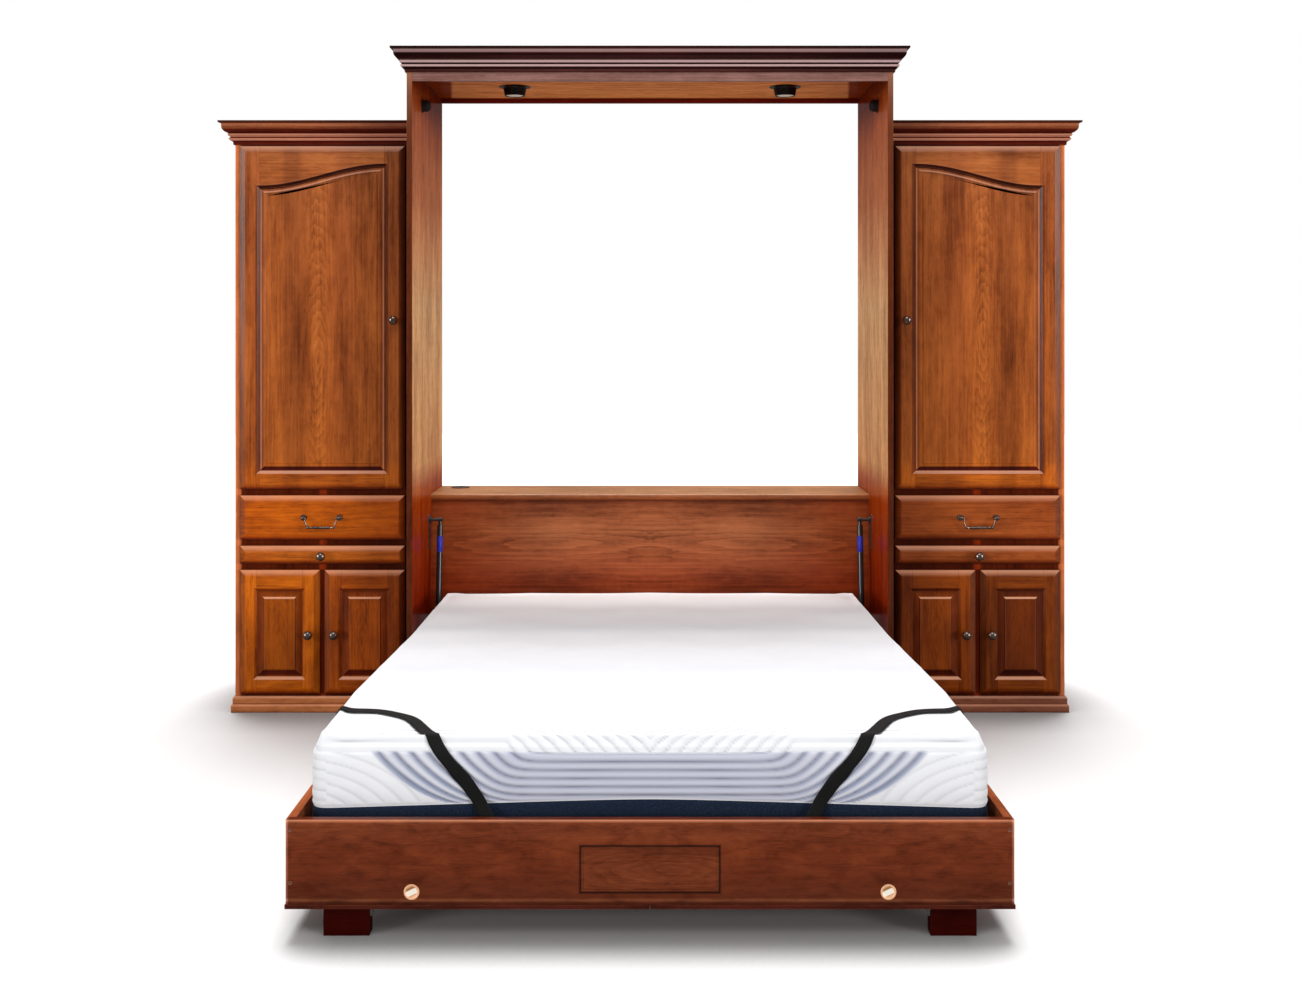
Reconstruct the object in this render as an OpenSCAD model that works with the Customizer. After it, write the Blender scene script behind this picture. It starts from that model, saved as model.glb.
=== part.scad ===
// Wall bed between two storage piers. The bed folds up into the open centre cabinet on two side pivots,
// helped by gas struts, and stands on two fold-down legs when it is down.
// Origin: the floor line at the wall, on the centre line. The wall is y = 0 and the front faces -Y.
// The bed is drawn lowered, with doors, drawers and trays closed.

/* [Centre cabinet] */
// Depth of the side panels from the wall
cab_d = 740; // [720:1:800]
// Thickness of the cabinet boards
board_t = 19; // [18:0.5:20]
// Room between the raised bed and the underside of the front rail
fascia_room = 11; // [10:1:60]
// Height of the top board's underside above the front rail's
soffit_up = 52; // [40:1:56]
// How far the side panels stand above the front rail's underside
panel_over = 106; // [100:1:110]
// Height of the front rail that shows under the crown
fascia_show = 30; // [24:1:34]
// Height of the ledge's top
ledge_z = 750; // [735:1:780]
// Thickness of the ledge
ledge_t = 25; // [19:1:28]
// Depth of the ledge from the wall
ledge_d = 300; // [250:1:310]
// Overhang of the ledge past the headboard panel
ledge_over = 10; // [6:1:14]
// Height of the headboard panel's lower edge
headboard_z = 300; // [290:1:360]
// Height of the toe board under the bed
kick_h = 52; // [40:1:54]

/* [Wall fixing] */
// Distance between the two rows of wall screws, across
screw_dx = 813; // [600:1:900]
// Diameter of the wall screw holes
screw_hole_d = 8; // [6:0.5:10]
// Height of the lower wall cleat
cleat_h = 90; // [70:1:110]

/* [Bed frame] */
// Gap between the bed and each side panel
bed_gap = 6; // [5:0.5:8]
// Height of the pivot above the floor
pivot_z = 230; // [229:0.5:231]
// Clear height under the lowered bed, which is the height of its legs
leg_h = 65; // [63:1:66]
// Thickness of the decorative front panels
front_t = 16; // [16:0.5:18]
// Height of the side, foot and head rails
rail_h = 189; // [180:1:192]
// How far the head rail stands below the foot rail's top
head_drop = 85; // [75:1:95]
// Height of the lengthwise stringers
stringer_h = 56; // [50:1:60]
// Width of each stringer
stringer_w = 38; // [30:1:50]
// Distance of the outer stringers from the bed's sides
stringer_side = 280; // [210:1:330]
// Thickness of the deck
deck_t = 12; // [9:1:15]
// How far the front panels reach past the pivot, towards the head
panel_reach = 140; // [120:1:142]
// Radius about the pivot that the head end keeps within
swing_r = 212; // [205:1:214]

/* [Mattress] */
// Width of the mattress
mattress_w = 1524; // [990:1:1930]
// Room between the mattress and each side rail, where the struts run
side_room = 29; // [28:0.5:36]
// Length of the mattress
mattress_l = 2032; // [1880:1:2130]
// Thickness of the mattress at its edge
mattress_t = 280; // [250:1:290]
// How far the mattress reaches past the pivot, towards the head
head_reach = 117; // [110:1:118]
// Space between the mattress and the foot rail
foot_gap = 38; // [30:1:42]
// Width of the retaining straps
strap_w = 36; // [25:1:50]

/* [Gas struts] */
// Distance of the strut's upper mount behind the front
strut_top_in = 395; // [385:1:405]
// Height of the strut's upper mount
strut_top_z = 660; // [650:1:670]
// Strut stud on the bed: distance past the pivot, towards the head
strut_arm_y = 165; // [160:1:170]
// Strut stud on the bed: height above the pivot
strut_arm_z = -5; // [-8:1:0]
// Outer radius of the gas cylinder
gas_r = 10.5; // [9.5:0.5:10.5]
// Radius of the piston rod
rod_r = 4; // [3:0.5:5]

/* [Piers] */
// Width of each pier
pier_w = 643; // [600:1:700]
// Set-back of the pier fronts from the centre cabinet's front
pier_setback = 200; // [180:1:220]
// Gap between the upper doors and the pier crown
crown_gap = 6; // [4:1:30]
// Reveal at the outer edge of the doors
reveal_out = 19; // [16:1:24]
// Reveal at the edge next to the centre cabinet
reveal_in = 37; // [30:1:44]
// Height of the lowest edge of the lower doors
lower_door_z = 68; // [64:1:80]
// Height of the lower doors
lower_door_h = 440; // [380:1:500]
// Height of the tray front
tray_h = 64; // [60:1:70]
// Height of the drawer front
drawer_h = 157; // [140:1:180]
// Height of the upper door
upper_door_h = 1220; // [1000:1:1400]
// Vertical gap between fronts
front_gap = 22; // [18:1:23]
// Gap between the two lower doors
door_split = 17; // [12:1:24]
// How far doors and fronts lap over the face frame
overlay = 12.5; // [10:0.5:13]
// Number of adjustable shelves behind an upper door
upper_shelves = 3; // [1:1:4]

/* [Doors and fronts] */
// Thickness of pier doors and fronts
door_t = 19; // [19:0.5:22]
// Space between the closed fronts and the face frame
front_space = 2; // [1.5:0.5:2.5]
// Width of the stiles of an upper door
stile_w = 72; // [66:1:80]
// Height of the bottom rail of an upper door
rail_w = 66; // [60:1:76]
// Height of the top rail at its narrowest
top_rail_w = 74; // [66:1:90]
// Rise of the arch
arch_rise = 77; // [40:1:100]
// Width of the stiles and bottom rail of a lower door
small_rail_w = 61; // [56:1:66]
// Height of the top rail of a lower door
small_top_w = 74; // [60:1:80]
// Width of the bevel round a door or front
edge_bevel_w = 21; // [12:1:24]
// Depth of that bevel
edge_bevel_d = 7; // [4:0.5:8]
// Width of the stiles of the bed's front panels
bed_stile_w = 96; // [80:1:110]
// Depth of a drawer box
drawer_l = 460; // [430:1:490]

/* [Mouldings] */
// Height of the crowns
crown_h = 81; // [70:1:90]
// Projection of the crowns
crown_p = 50; // [44:1:56]
// Height of the base moulding
base_h = 57; // [50:1:60]
// Projection of the base moulding
base_p = 13; // [10:1:16]

/* [Fittings] */
// Distance between the posts of a bail pull
pull_pitch = 128; // [96:1:140]
// Drop of the bail below its posts
bail_drop = 33; // [28:1:40]
// Distance of the lamps from the side panels
lamp_side = 312; // [200:1:360]
// Distance of the lamps behind the front
lamp_in = 447; // [430:1:520]
// Radius of the cable grommet's hole
grommet_r = 30; // [25:1:34]

/* [Hidden] */
$fn = 48;

// Clearances
run_fit = 0.06;     // radial clearance of a turning or sliding fit
fixed_fit = 0.05;   // radial clearance of a fixed fit
touch_gap = 0.3;    // between pieces of different bodies at rest
joint_gap = 0.1;    // glue line between two pieces that are one body

// Centre cabinet
niche_w = mattress_w + 2 * (side_room + board_t + bed_gap);
inner_x = niche_w / 2;
outer_x = inner_x + board_t;
front_y = -cab_d;
panel_proud = 3;
raised_reach = mattress_l - head_reach + foot_gap + board_t + panel_proud;
fascia_low = pivot_z + raised_reach + fascia_room;
soffit_z = fascia_low + soffit_up;
panel_top = fascia_low + panel_over;
crown_z = fascia_low + fascia_show;
headboard_y = -(ledge_d - ledge_over);
ledge_low = ledge_z - ledge_t;
upper_screw_z = soffit_z + board_t + 19;
lower_screw_z = ledge_low - cleat_h / 2;
grommet_side = 80;      // grommet's middle from the side panel
grommet_x = grommet_side - inner_x;
lamp_x = inner_x - lamp_side;
grommet_y = -67;

// Bed: heights, then places along Y
rail_low = leg_h + front_t;
rail_top = rail_low + rail_h;
deck_z = rail_low + stringer_h;
mattress_z = deck_z + deck_t;
pivot_y = front_y + pivot_z - leg_h;
mattress_head_y = pivot_y + head_reach;
mattress_foot_y = mattress_head_y - mattress_l;
foot_in_y = mattress_foot_y - foot_gap;
bed_front_y = foot_in_y - board_t;
bed_x = inner_x - bed_gap;
stringer_x = bed_x - stringer_side;
rail_in_x = bed_x - board_t;
head_rail_y = mattress_head_y + 6;
panel_head_y = pivot_y + panel_reach;
panel_foot_y = bed_front_y - panel_proud;

// Pivot and strut hardware
plate_t = 3;
pin_r = 8;
bush_r = 12;
bush_in = 3;
strut_x = mattress_w / 2 + 13;
stud_r = 6;
eye_r = 9;
eye_w = 14;
eye_pin_r = 5;
strut_top = [front_y + strut_top_in, strut_top_z];
strut_low = [pivot_y + strut_arm_y, pivot_z + strut_arm_z];
strut_low_up = [pivot_y + strut_arm_z, pivot_z - strut_arm_y];
strut_len = norm(strut_low - strut_top);
strut_len_up = norm(strut_low_up - strut_top);
strut_stroke = strut_len_up - strut_len;
strut_tilt = asin((strut_low[0] - strut_top[0]) / strut_len);
strut_tilt_up = asin((strut_low_up[0] - strut_top[0]) / strut_len_up);
gas_wall = 1.5;
neck_r = 6.5;
neck_l = 12;
guide_l = 14;
piston_l = 10;
gas_top = eye_r + neck_l;
gas_l = strut_len - gas_top - eye_r - neck_l - 30;

// Legs
leg_w = 103;
leg_t = 38;
leg_side = 129;         // leg's middle from the bed's side
leg_x = bed_x - leg_side;
leg_pin_r = 4;
leg_round = 12;
leg_set = 29;
leg_front_y = bed_front_y + leg_set;
leg_pin_y = leg_front_y + leg_t - leg_round;
leg_pin_z = leg_h - touch_gap - leg_round;

// Piers, written for the left one, which the right one mirrors
pier_out = -(outer_x + pier_w);
pier_in = -outer_x;
pier_front_y = front_y + pier_setback;
frame_back_y = pier_front_y + board_t;
back_t = 6;
front_x = pier_out + reveal_out;
front_w = pier_w - reveal_out - reveal_in;
front_face_y = pier_front_y - front_space - door_t;
tray_z = lower_door_z + lower_door_h + front_gap;
drawer_z = tray_z + tray_h + front_gap;
upper_door_z = drawer_z + drawer_h + front_gap;
pier_crown_z = upper_door_z + upper_door_h + crown_gap;
pier_top = pier_crown_z + crown_h - 22;
lower_door_w = (front_w - door_split) / 2;
open_x0 = front_x + overlay;
open_x1 = front_x + front_w - overlay;
deck_in_x0 = pier_out + board_t;
deck_in_x1 = pier_in - board_t;
fixed_decks = [lower_door_z + overlay - board_t, lower_door_z + lower_door_h - overlay + 4,
    upper_door_z + overlay - board_t, upper_door_z + upper_door_h - overlay + 7];
lower_shelf_z = lower_door_z + lower_door_h / 2 - board_t / 2;
upper_room = fixed_decks[3] - fixed_decks[2] - board_t;
upper_pitch = (upper_room + board_t) / (upper_shelves + 1);
shelf_zs = concat([lower_shelf_z],
    [for (i = [1:upper_shelves]) fixed_decks[2] + i * upper_pitch]);
shelf_side_gap = 0.5;

// Concealed hinges, in a door's own frame: x from the hinged edge, y from the front face
cup_x = 22.5;
cup_r = 17.4;
cup_depth = 11.5;
cup_wall = 2.4;
arm_h = 14;
upper_hinge_zs = [90, upper_door_h / 2, upper_door_h - 90];
lower_hinge_zs = [70, lower_door_h - 70];

// Drawers and trays
box_t = 12;
box_side = 13;
box_z0 = drawer_z + overlay + 8;
box_h = drawer_h - 2 * overlay - 24;
rail_gap = 0.4;
cabinet_member = 5.9;
tray_board_t = 16;
tray_board_z = tray_z + tray_h / 2 - tray_board_t / 2 - 2;
tray_l = drawer_l - 20;
tray_runner_w = 12;
tray_lip = 5;

// Pulls and knobs
pull_x = front_x + front_w / 2;
pull_z = drawer_z + drawer_h / 2;
pull_out = 22;
pull_y = front_face_y - pull_out;
bail_r = 3.5;
bail_pin_r = 3;
eye_post_w = 10;
bail_x = pull_pitch / 2 - eye_post_w / 2 - 0.5 - bail_r;
bail_bend = 12;

module block(low, high) {
    translate(low) cube(high - low);
}

module both_sides() {
    children();
    mirror([1, 0, 0]) children();
}

// The left piece is drawn, and the right one is its mirror image
module on_side(right) {
    if (right) mirror([1, 0, 0]) children();
    else children();
}

// A cylinder along +X, between two places
module rod_x(x0, x1, r) {
    translate([x0, 0, 0]) rotate([0, 90, 0]) cylinder(r = r, h = x1 - x0);
}

function arc(c, r, a0, a1, n) = [for (i = [0:n]) c + r * [cos(a0 + (a1 - a0) * i / n), sin(a0 + (a1 - a0) * i / n)]];

// Closed skin through rings of equally many points, listed anticlockwise as seen from the last ring
module loft(rings) {
    n = len(rings[0]);
    last = len(rings) - 1;
    points = [for (ring = rings) for (p = ring) p];
    sides = [for (k = [0:last - 1]) for (i = [0:n - 1])
        let (j = (i + 1) % n, a = k * n + i, b = k * n + j, c = b + n, d = a + n)
        for (f = [[a, d, c], [a, c, b]]) f];
    polyhedron(points, concat([[for (i = [0:n - 1]) i]], sides, [[for (i = [n - 1:-1:0]) last * n + i]]));
}

// Crown: a fillet, a cove, two beads, a swelling ovolo and a square top, as fractions of its two sizes
function crown_profile() = [for (p = concat(
    [[0, 0], [6, 0]], arc([15, 5], 9, 180, 90, 5), [[15, 16]], arc([15, 20], 4, -60, 90, 5), [[15, 29]],
    arc([17, 34.5], 5, -60, 80, 6), [[18, 40]], arc([18, 62], 22, -80, 0, 8), [[40, 72], [50, 75], [50, 81], [0, 81]]))
    [p[0] * crown_p / 50, p[1] * crown_h / 81]];

// Base: two rounded steps
function base_profile() = [for (p = concat(
    [[0, 0], [13, 0]], arc([9, 24], 4, 0, 90, 5), [[8, 28]], arc([4, 49], 4, 0, 60, 4), [[3, 57], [0, 57]]))
    [p[0] * base_p / 13, p[1] * base_h / 57]];

// Moulding along the front from x_in, where it is cut square, to the mitre at x_out, and a run back to the wall
module corner_moulding(x_in, x_out, y_front, reach, height, profile) {
    mitre_x = x_out - 1.5 * joint_gap;
    intersection() {
        translate([x_in, y_front, 0]) rotate([90, 0, 90])
            linear_extrude(x_out + reach - x_in) polygon([for (p = profile) [-p[0], p[1]]]);
        linear_extrude(height) polygon([[x_in, y_front], [mitre_x, y_front],
            [mitre_x + reach, y_front - reach], [x_in, y_front - reach]]);
    }
    intersection() {
        translate([x_out, 0, 0]) rotate([90, 0, 0]) linear_extrude(reach - y_front) polygon(profile);
        linear_extrude(height) polygon([[x_out, y_front], [x_out + reach, y_front - reach],
            [x_out + reach, 0], [x_out, 0]]);
    }
}

// Panel with a bevel round its front face, which lies at y = 0
module bevelled_slab(w, h, t, bevel_w, bevel_d) {
    intersection() {
        linear_extrude(h) polygon([[0, t], [0, bevel_d], [bevel_w, 0], [w - bevel_w, 0], [w, bevel_d], [w, t]]);
        rotate([90, 0, 90]) linear_extrude(w)
            polygon([[t, 0], [t, h], [bevel_d, h], [0, h - bevel_w], [0, bevel_w], [bevel_d, 0]]);
    }
}

// Outline of a door's field opening, grown by off, with an arch that rises away from x = 0
function opening_outline(w, h, stile, low_rail, top_rail, rise, off) =
    let (n = rise > 0 ? 40 : 1, run = w - 2 * stile, x0 = stile - off, x1 = w - stile + off)
    concat([[x0, low_rail - off], [x1, low_rail - off]], [for (i = [n:-1:0])
        let (x = x0 + (x1 - x0) * i / n, u = min(1, max(0, (x - stile) / run)),
            slope = rise * PI / 2 * sin(180 * u) / run)
        [x, h - top_rail - rise + rise * (1 - cos(180 * u)) / 2 + off * sqrt(1 + slope * slope)]]);

function at_y(outline, y) = [for (p = outline) [p[0], y, p[1]]];

module prism_y(outline, y0, y1) {
    translate([0, y1, 0]) rotate([90, 0, 0]) linear_extrude(y1 - y0) polygon(outline);
}

// Frame-and-panel door, front face at y = 0, standing on z = 0: a frame with a moulded inner edge and a groove,
// and a raised panel that floats in the groove
module raised_door(w, h, t, stile, low_rail, top_rail, rise) {
    groove0 = t / 2 - 3;
    groove1 = t / 2 + 3;
    stick_w = 8;
    stick_d = groove0 - 1;
    over = 0.5;
    slack = 0.3;
    field_in = 25;
    difference() {
        bevelled_slab(w, h, t, edge_bevel_w, edge_bevel_d);
        prism_y(opening_outline(w, h, stile, low_rail, top_rail, rise, 0), -1, t + 1);
        prism_y(opening_outline(w, h, stile, low_rail, top_rail, rise, 8), groove0, groove1);
        loft([at_y(opening_outline(w, h, stile, low_rail, top_rail, rise, -over * stick_w / stick_d), stick_d + over),
            at_y(opening_outline(w, h, stile, low_rail, top_rail, rise, stick_w * (1 + over / stick_d)), -over)]);
    }
    loft([for (ring = [[8 - slack, groove1 - slack], [8 - slack, groove0 + slack], [-1, groove0 + slack],
        [-field_in, 3.4], [-field_in - 2, 1.2]])
        at_y(opening_outline(w, h, stile, low_rail, top_rail, rise, ring[0]), ring[1])]);
}

module cup_bores(zs, t) {
    for (z = zs) translate([cup_x, t + 1, z]) rotate([90, 0, 0]) cylinder(r = cup_r + 0.1, h = cup_depth + 1.2);
}

// Hinge cups let into the back of a door
module hinge_cups(zs, t) {
    for (z = zs) translate([cup_x, t, z]) rotate([90, 0, 0]) difference() {
        union() {
            cylinder(r = cup_r, h = cup_depth);
            translate([0, 0, -1]) cylinder(r = 19.5, h = 1);
            for (s = [-1, 1]) translate([-6, s > 0 ? 14 : -32, -1]) cube([14, 18, 1]);
        }
        translate([0, 0, -2]) cylinder(r = cup_r - cup_wall, h = cup_depth + 1);
    }
}

// Hinge plates on the inner edge of the face frame, and arms that reach from them into the cups
module hinge_arm_set(zs) {
    cup_floor = door_t - cup_depth + 1;
    frame_y = door_t + front_space;
    for (z = zs) translate([overlay, 0, z]) {
        union() {
            block([0, frame_y, -24], [2, frame_y + board_t, 24]);
            block([1, frame_y, -arm_h / 2], [5, frame_y + 30, arm_h / 2]);
        }
        block([2.5, cup_floor + 0.4, -arm_h / 2], [17, frame_y - joint_gap, arm_h / 2]);
    }
}

// Turned knob, standing out from the face at y = 0
module knob() {
    rotate([90, 0, 0]) rotate_extrude() polygon(concat([[0, 0], [9, 0], [9, 2], [6.5, 3.5], [5, 7], [5, 12]],
        arc([9, 24], 7.8, -125, -20, 4), arc([4, 20], 13, 20, 90, 6), [[0, 33]]));
}

// Puts a pier door, given by its hinged edge; dir is 1 where it runs towards +X from there
module place_door(x, dir, z) {
    translate([x, front_face_y, z]) if (dir > 0) children(); else mirror([1, 0, 0]) children();
}

module side_panels() color("#8a4a28") both_sides() block([inner_x, front_y, 0], [outer_x, 0, panel_top]);

module top_board() color("#8c5530")
    block([-inner_x, front_y + board_t, soffit_z], [inner_x, -board_t, soffit_z + board_t]);

module fascia_rail() color("#80462c")
    block([-inner_x, front_y, fascia_low], [inner_x, front_y + board_t, panel_top]);

// Upper and lower wall cleats with two screw holes each
module wall_cleats() color("#5e2a18") difference() {
    union() {
        block([-inner_x, -board_t, soffit_z - 18], [inner_x, 0, panel_top]);
        block([-inner_x, -board_t, ledge_low - cleat_h], [inner_x, 0, ledge_low]);
    }
    for (x = [-1, 1], z = [lower_screw_z, upper_screw_z])
        translate([x * screw_dx / 2, 1, z]) rotate([90, 0, 0]) cylinder(d = screw_hole_d, h = board_t + 2);
}

module headboard_panel() color("#7a3a1e")
    block([-inner_x, headboard_y, headboard_z], [inner_x, headboard_y + board_t, ledge_low]);

// Ledge with a rounded nose and the grommet's hole
module ledge() color("#8a4a28") difference() {
    union() {
        block([-inner_x, -ledge_d + ledge_t / 2, ledge_low], [inner_x, 0, ledge_z]);
        translate([0, -ledge_d + ledge_t / 2, ledge_low + ledge_t / 2]) rod_x(-inner_x, inner_x, ledge_t / 2);
    }
    translate([grommet_x, grommet_y, ledge_low - 1]) cylinder(r = grommet_r + fixed_fit, h = ledge_t + 2);
}

// Toe board under the bed, and a floor rail against the wall
module toe_board() color("#5e2a18") {
    block([-inner_x, front_y + 4, 0], [inner_x, front_y + 4 + board_t, kick_h]);
    block([-inner_x, -board_t, 0], [inner_x, 0, kick_h]);
}

module centre_crown() color("#7a3d26") translate([0, 0, crown_z])
    both_sides() corner_moulding(-1, outer_x, front_y, crown_p, crown_h, crown_profile());

// Liner with a flange, and a cap with a cable notch
module cable_grommet() color("#2a211d") translate([grommet_x, grommet_y, 0]) {
    difference() {
        union() {
            translate([0, 0, ledge_low - 4]) cylinder(r = grommet_r, h = ledge_t + 5);
            translate([0, 0, ledge_z]) cylinder(r = grommet_r + 5, h = 2);
        }
        translate([0, 0, ledge_low - 5]) cylinder(r = grommet_r - 2.5, h = ledge_t + 10);
    }
    translate([0, 0, ledge_z - 3]) difference() {
        cylinder(r = grommet_r - 2.6, h = 4.5);
        translate([-9, 6, -1]) cube([18, grommet_r, 8]);
    }
}

// Surface lamps under the top board
module light_housings() color("#2b1d16") both_sides() translate([lamp_x, front_y + lamp_in, soffit_z])
    rotate([180, 0, 0]) rotate_extrude() polygon(concat([[0, 0], [58, 0], [58, 2.5], [46, 5], [43, 8], [38.5, 30]],
        arc([36, 32], 2.5, 0, 90, 4), [[34, 34.5], [34, 24], [0, 24]]));

module light_lenses() color("#efe6cf") both_sides() translate([lamp_x, front_y + lamp_in, soffit_z])
    rotate([180, 0, 0]) translate([0, 0, 24]) rotate_extrude() polygon([[0, 0], [33.8, 0], [33.8, 7], [28, 9], [0, 10]]);

// Rubber catches that the raised side rails close against
catch_r = 21;
catch_y = pivot_y + rail_top - pivot_z + catch_r + 0.5;
catch_drop = 52;
catch_z = fascia_low - catch_drop;
module rubber_catches() color("#17110f") both_sides() translate([inner_x, catch_y, catch_z])
    rotate([0, -90, 0]) rotate_extrude() polygon(concat([[0, 0], [25, 0], [25, 2.5], [catch_r, 4]],
        arc([catch_r - 13, 17], 13, 0, 90, 8), [[5, 30], [5, 27], [0, 27]]));

// Perforated plate on each side panel with the strut's upper pin
module strut_brackets() color("#1d1a19") both_sides() translate([0, strut_top[0], strut_top[1]]) {
    difference() {
        union() {
            rod_x(inner_x - plate_t, inner_x, 22);
            block([inner_x - plate_t, -22, -108], [inner_x, 22, 0]);
        }
        for (i = [0:2], y = [-9, 9]) translate([0, y, -38 - 26 * i]) rod_x(inner_x - plate_t - 1, inner_x + 1, 4);
    }
    rod_x(inner_x - plate_t - 6, inner_x - plate_t, 11);
    rod_x(strut_x - eye_w / 2 - 2, inner_x - plate_t, eye_pin_r);
}

// Flanged pins that carry the bed
module pivot_pins() color("#4a4744") both_sides() translate([0, pivot_y, pivot_z]) {
    difference() {
        rod_x(inner_x - plate_t, inner_x, 45);
        for (a = [45:90:315]) rotate([a, 0, 0]) translate([0, 0, 34]) rod_x(inner_x - plate_t - 1, inner_x + 1, 3);
    }
    rod_x(rail_in_x - plate_t - bush_in + 1, inner_x - plate_t, pin_r);
}

// Pier sides with the pegs that carry the adjustable shelves
module pier_sides() color("#8a4a28") both_sides() {
    block([pier_out, frame_back_y, 0], [deck_in_x0, 0, pier_top]);
    block([deck_in_x1, frame_back_y, 0], [pier_in, 0, pier_top]);
    for (z = shelf_zs, y = [frame_back_y + 60, -70]) {
        translate([0, y, z - 2.5]) rod_x(deck_in_x0 - 5, deck_in_x0 + 7, 2.5);
        translate([0, y, z - 2.5]) rod_x(deck_in_x1 - 7, deck_in_x1 + 5, 2.5);
    }
}

module pier_shelves() color("#94562f") both_sides() {
    for (z = fixed_decks) block([deck_in_x0, frame_back_y, z], [deck_in_x1, -back_t, z + board_t]);
    for (z = shelf_zs) block([deck_in_x0 + shelf_side_gap, frame_back_y + 20, z],
        [deck_in_x1 - shelf_side_gap, -back_t - 2, z + board_t - 1]);
}

module pier_backs() color("#9a6038") both_sides()
    block([deck_in_x0, -back_t, 0], [deck_in_x1, 0, pier_top]);

// Face frame: two stiles, five rails and a mullion between the lower doors
frame_rails = [[0, lower_door_z + overlay], [lower_door_z + lower_door_h - overlay, tray_z + overlay],
    [tray_z + tray_h - overlay, drawer_z + overlay], [drawer_z + drawer_h - overlay, upper_door_z + overlay],
    [upper_door_z + upper_door_h - overlay, pier_top]];
module face_frames() color("#84411f") both_sides() {
    block([pier_out, pier_front_y, 0], [open_x0, frame_back_y, pier_top]);
    block([open_x1, pier_front_y, 0], [pier_in, frame_back_y, pier_top]);
    for (r = frame_rails)
        block([open_x0 + joint_gap, pier_front_y, r[0]], [open_x1 - joint_gap, frame_back_y, r[1]]);
    block([front_x + lower_door_w - overlay, pier_front_y, frame_rails[0][1] + joint_gap],
        [front_x + lower_door_w + door_split + overlay, frame_back_y, frame_rails[1][0] - joint_gap]);
}

module pier_crowns() color("#7a3d26") translate([0, 0, pier_crown_z])
    both_sides() corner_moulding(outer_x, -pier_out, pier_front_y, crown_p, crown_h, crown_profile());

module base_mouldings() color("#7a3d26")
    both_sides() corner_moulding(outer_x, -pier_out, pier_front_y, base_p, base_h, base_profile());

module hinge_arms() color("#b9b6b0") both_sides() {
    place_door(front_x, 1, upper_door_z) hinge_arm_set(upper_hinge_zs);
    place_door(front_x, 1, lower_door_z) hinge_arm_set(lower_hinge_zs);
    place_door(front_x + front_w, -1, lower_door_z) hinge_arm_set(lower_hinge_zs);
}

// Fixed runners: a channel each side of a drawer, and a grooved runner each side of a tray
module slide_rails() color("#a9a6a0") both_sides() {
    mid = box_z0 + box_h / 2;
    runner_z = tray_board_z - 5;
    for (side = [0, 1]) translate([side == 0 ? open_x0 : open_x1, 0, 0]) on_side(side == 1) {
        difference() {
            block([0, pier_front_y + 5, mid - 22.5], [cabinet_member, -back_t, mid + 22.5]);
            block([2, pier_front_y, mid - 19], [cabinet_member + 1, -back_t - 20, mid + 19]);
        }
        difference() {
            block([0, pier_front_y + 5, runner_z], [tray_runner_w, -back_t, tray_board_z + tray_board_t + 5]);
            block([tray_runner_w - tray_lip - touch_gap, pier_front_y, tray_board_z - touch_gap],
                [tray_runner_w + 1, -back_t - 20, tray_board_z + tray_board_t + touch_gap]);
        }
    }
}

// A strut's own frame: its upper eye at the origin, and the strut along -Z
module place_strut(right) {
    on_side(right) translate([-strut_x, strut_top[0], strut_top[1]]) rotate([strut_tilt, 0, 0]) children();
}

module strut_cylinder() color("#1c1b1c") union() {
    difference() {
        union() {
            rod_x(-eye_w / 2, eye_w / 2, eye_r);
            translate([0, 0, -gas_top]) cylinder(r = neck_r, h = gas_top);
        }
        rod_x(-eye_w, eye_w, eye_pin_r + run_fit);
    }
    translate([0, 0, -gas_top - gas_l]) difference() {
        cylinder(r = gas_r, h = gas_l);
        translate([0, 0, -1]) cylinder(r = rod_r + run_fit, h = guide_l + 2);
        translate([0, 0, guide_l]) cylinder(r = gas_r - gas_wall, h = gas_l - guide_l - 6);
    }
}

// Piston rod with its piston and a ball socket that opens towards the bed's side rail
module strut_rod() color("#b7b7ba") translate([0, 0, -strut_len]) union() {
    difference() {
        union() {
            rod_x(-eye_w / 2, eye_w / 2, eye_r);
            cylinder(r = neck_r, h = eye_r + neck_l);
        }
        rod_x(-eye_w, -eye_w / 2 + 4, stud_r + 0.5);
    }
    piston_z = strut_len - gas_top - gas_l + guide_l + strut_stroke + 2;
    cylinder(r = rod_r, h = piston_z);
    translate([0, 0, piston_z]) cylinder(r = gas_r - gas_wall - run_fit, h = piston_l);
}

// Side rails, whose head ends are rounded about the pivot to swing clear of the floor
module bed_side_rails() color("#9a4f28") both_sides() difference() {
    translate([rail_in_x, 0, 0]) rotate([90, 0, 90]) linear_extrude(board_t) union() {
        translate([foot_in_y, rail_low]) square([pivot_y - foot_in_y, rail_h]);
        intersection() {
            translate([pivot_y, pivot_z]) circle(r = swing_r, $fn = 96);
            translate([pivot_y - 60, rail_low]) square([swing_r + 80, rail_h]);
        }
    }
    translate([0, pivot_y, pivot_z]) rod_x(rail_in_x - 1, bed_x + 1, bush_r + fixed_fit);
}

// Foot rail with a shallow recess for the inset plate and two bolt holes
bolt_z = rail_low + stringer_h / 2;
bolt_cup_r = 16;
plate_w = 309;
plate_h = 102;
plate_d = 3;
plate_z = rail_low + rail_h / 2 - 16;
module foot_rail() color("#7a3a22") difference() {
    block([-bed_x, bed_front_y, rail_low], [bed_x, foot_in_y, rail_top]);
    block([-plate_w / 2 - 1.5, bed_front_y - 1, plate_z - plate_h / 2 - 1.5],
        [plate_w / 2 + 1.5, bed_front_y + plate_d, plate_z + plate_h / 2 + 1.5]);
    for (s = [-1, 1]) translate([s * stringer_x, 0, bolt_z]) {
        translate([0, foot_in_y + 1, 0]) rotate([90, 0, 0]) cylinder(r = 5 + fixed_fit, h = board_t + 2);
        translate([0, bed_front_y + 4, 0]) rotate([90, 0, 0]) cylinder(r = bolt_cup_r + fixed_fit, h = 5);
    }
}

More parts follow.
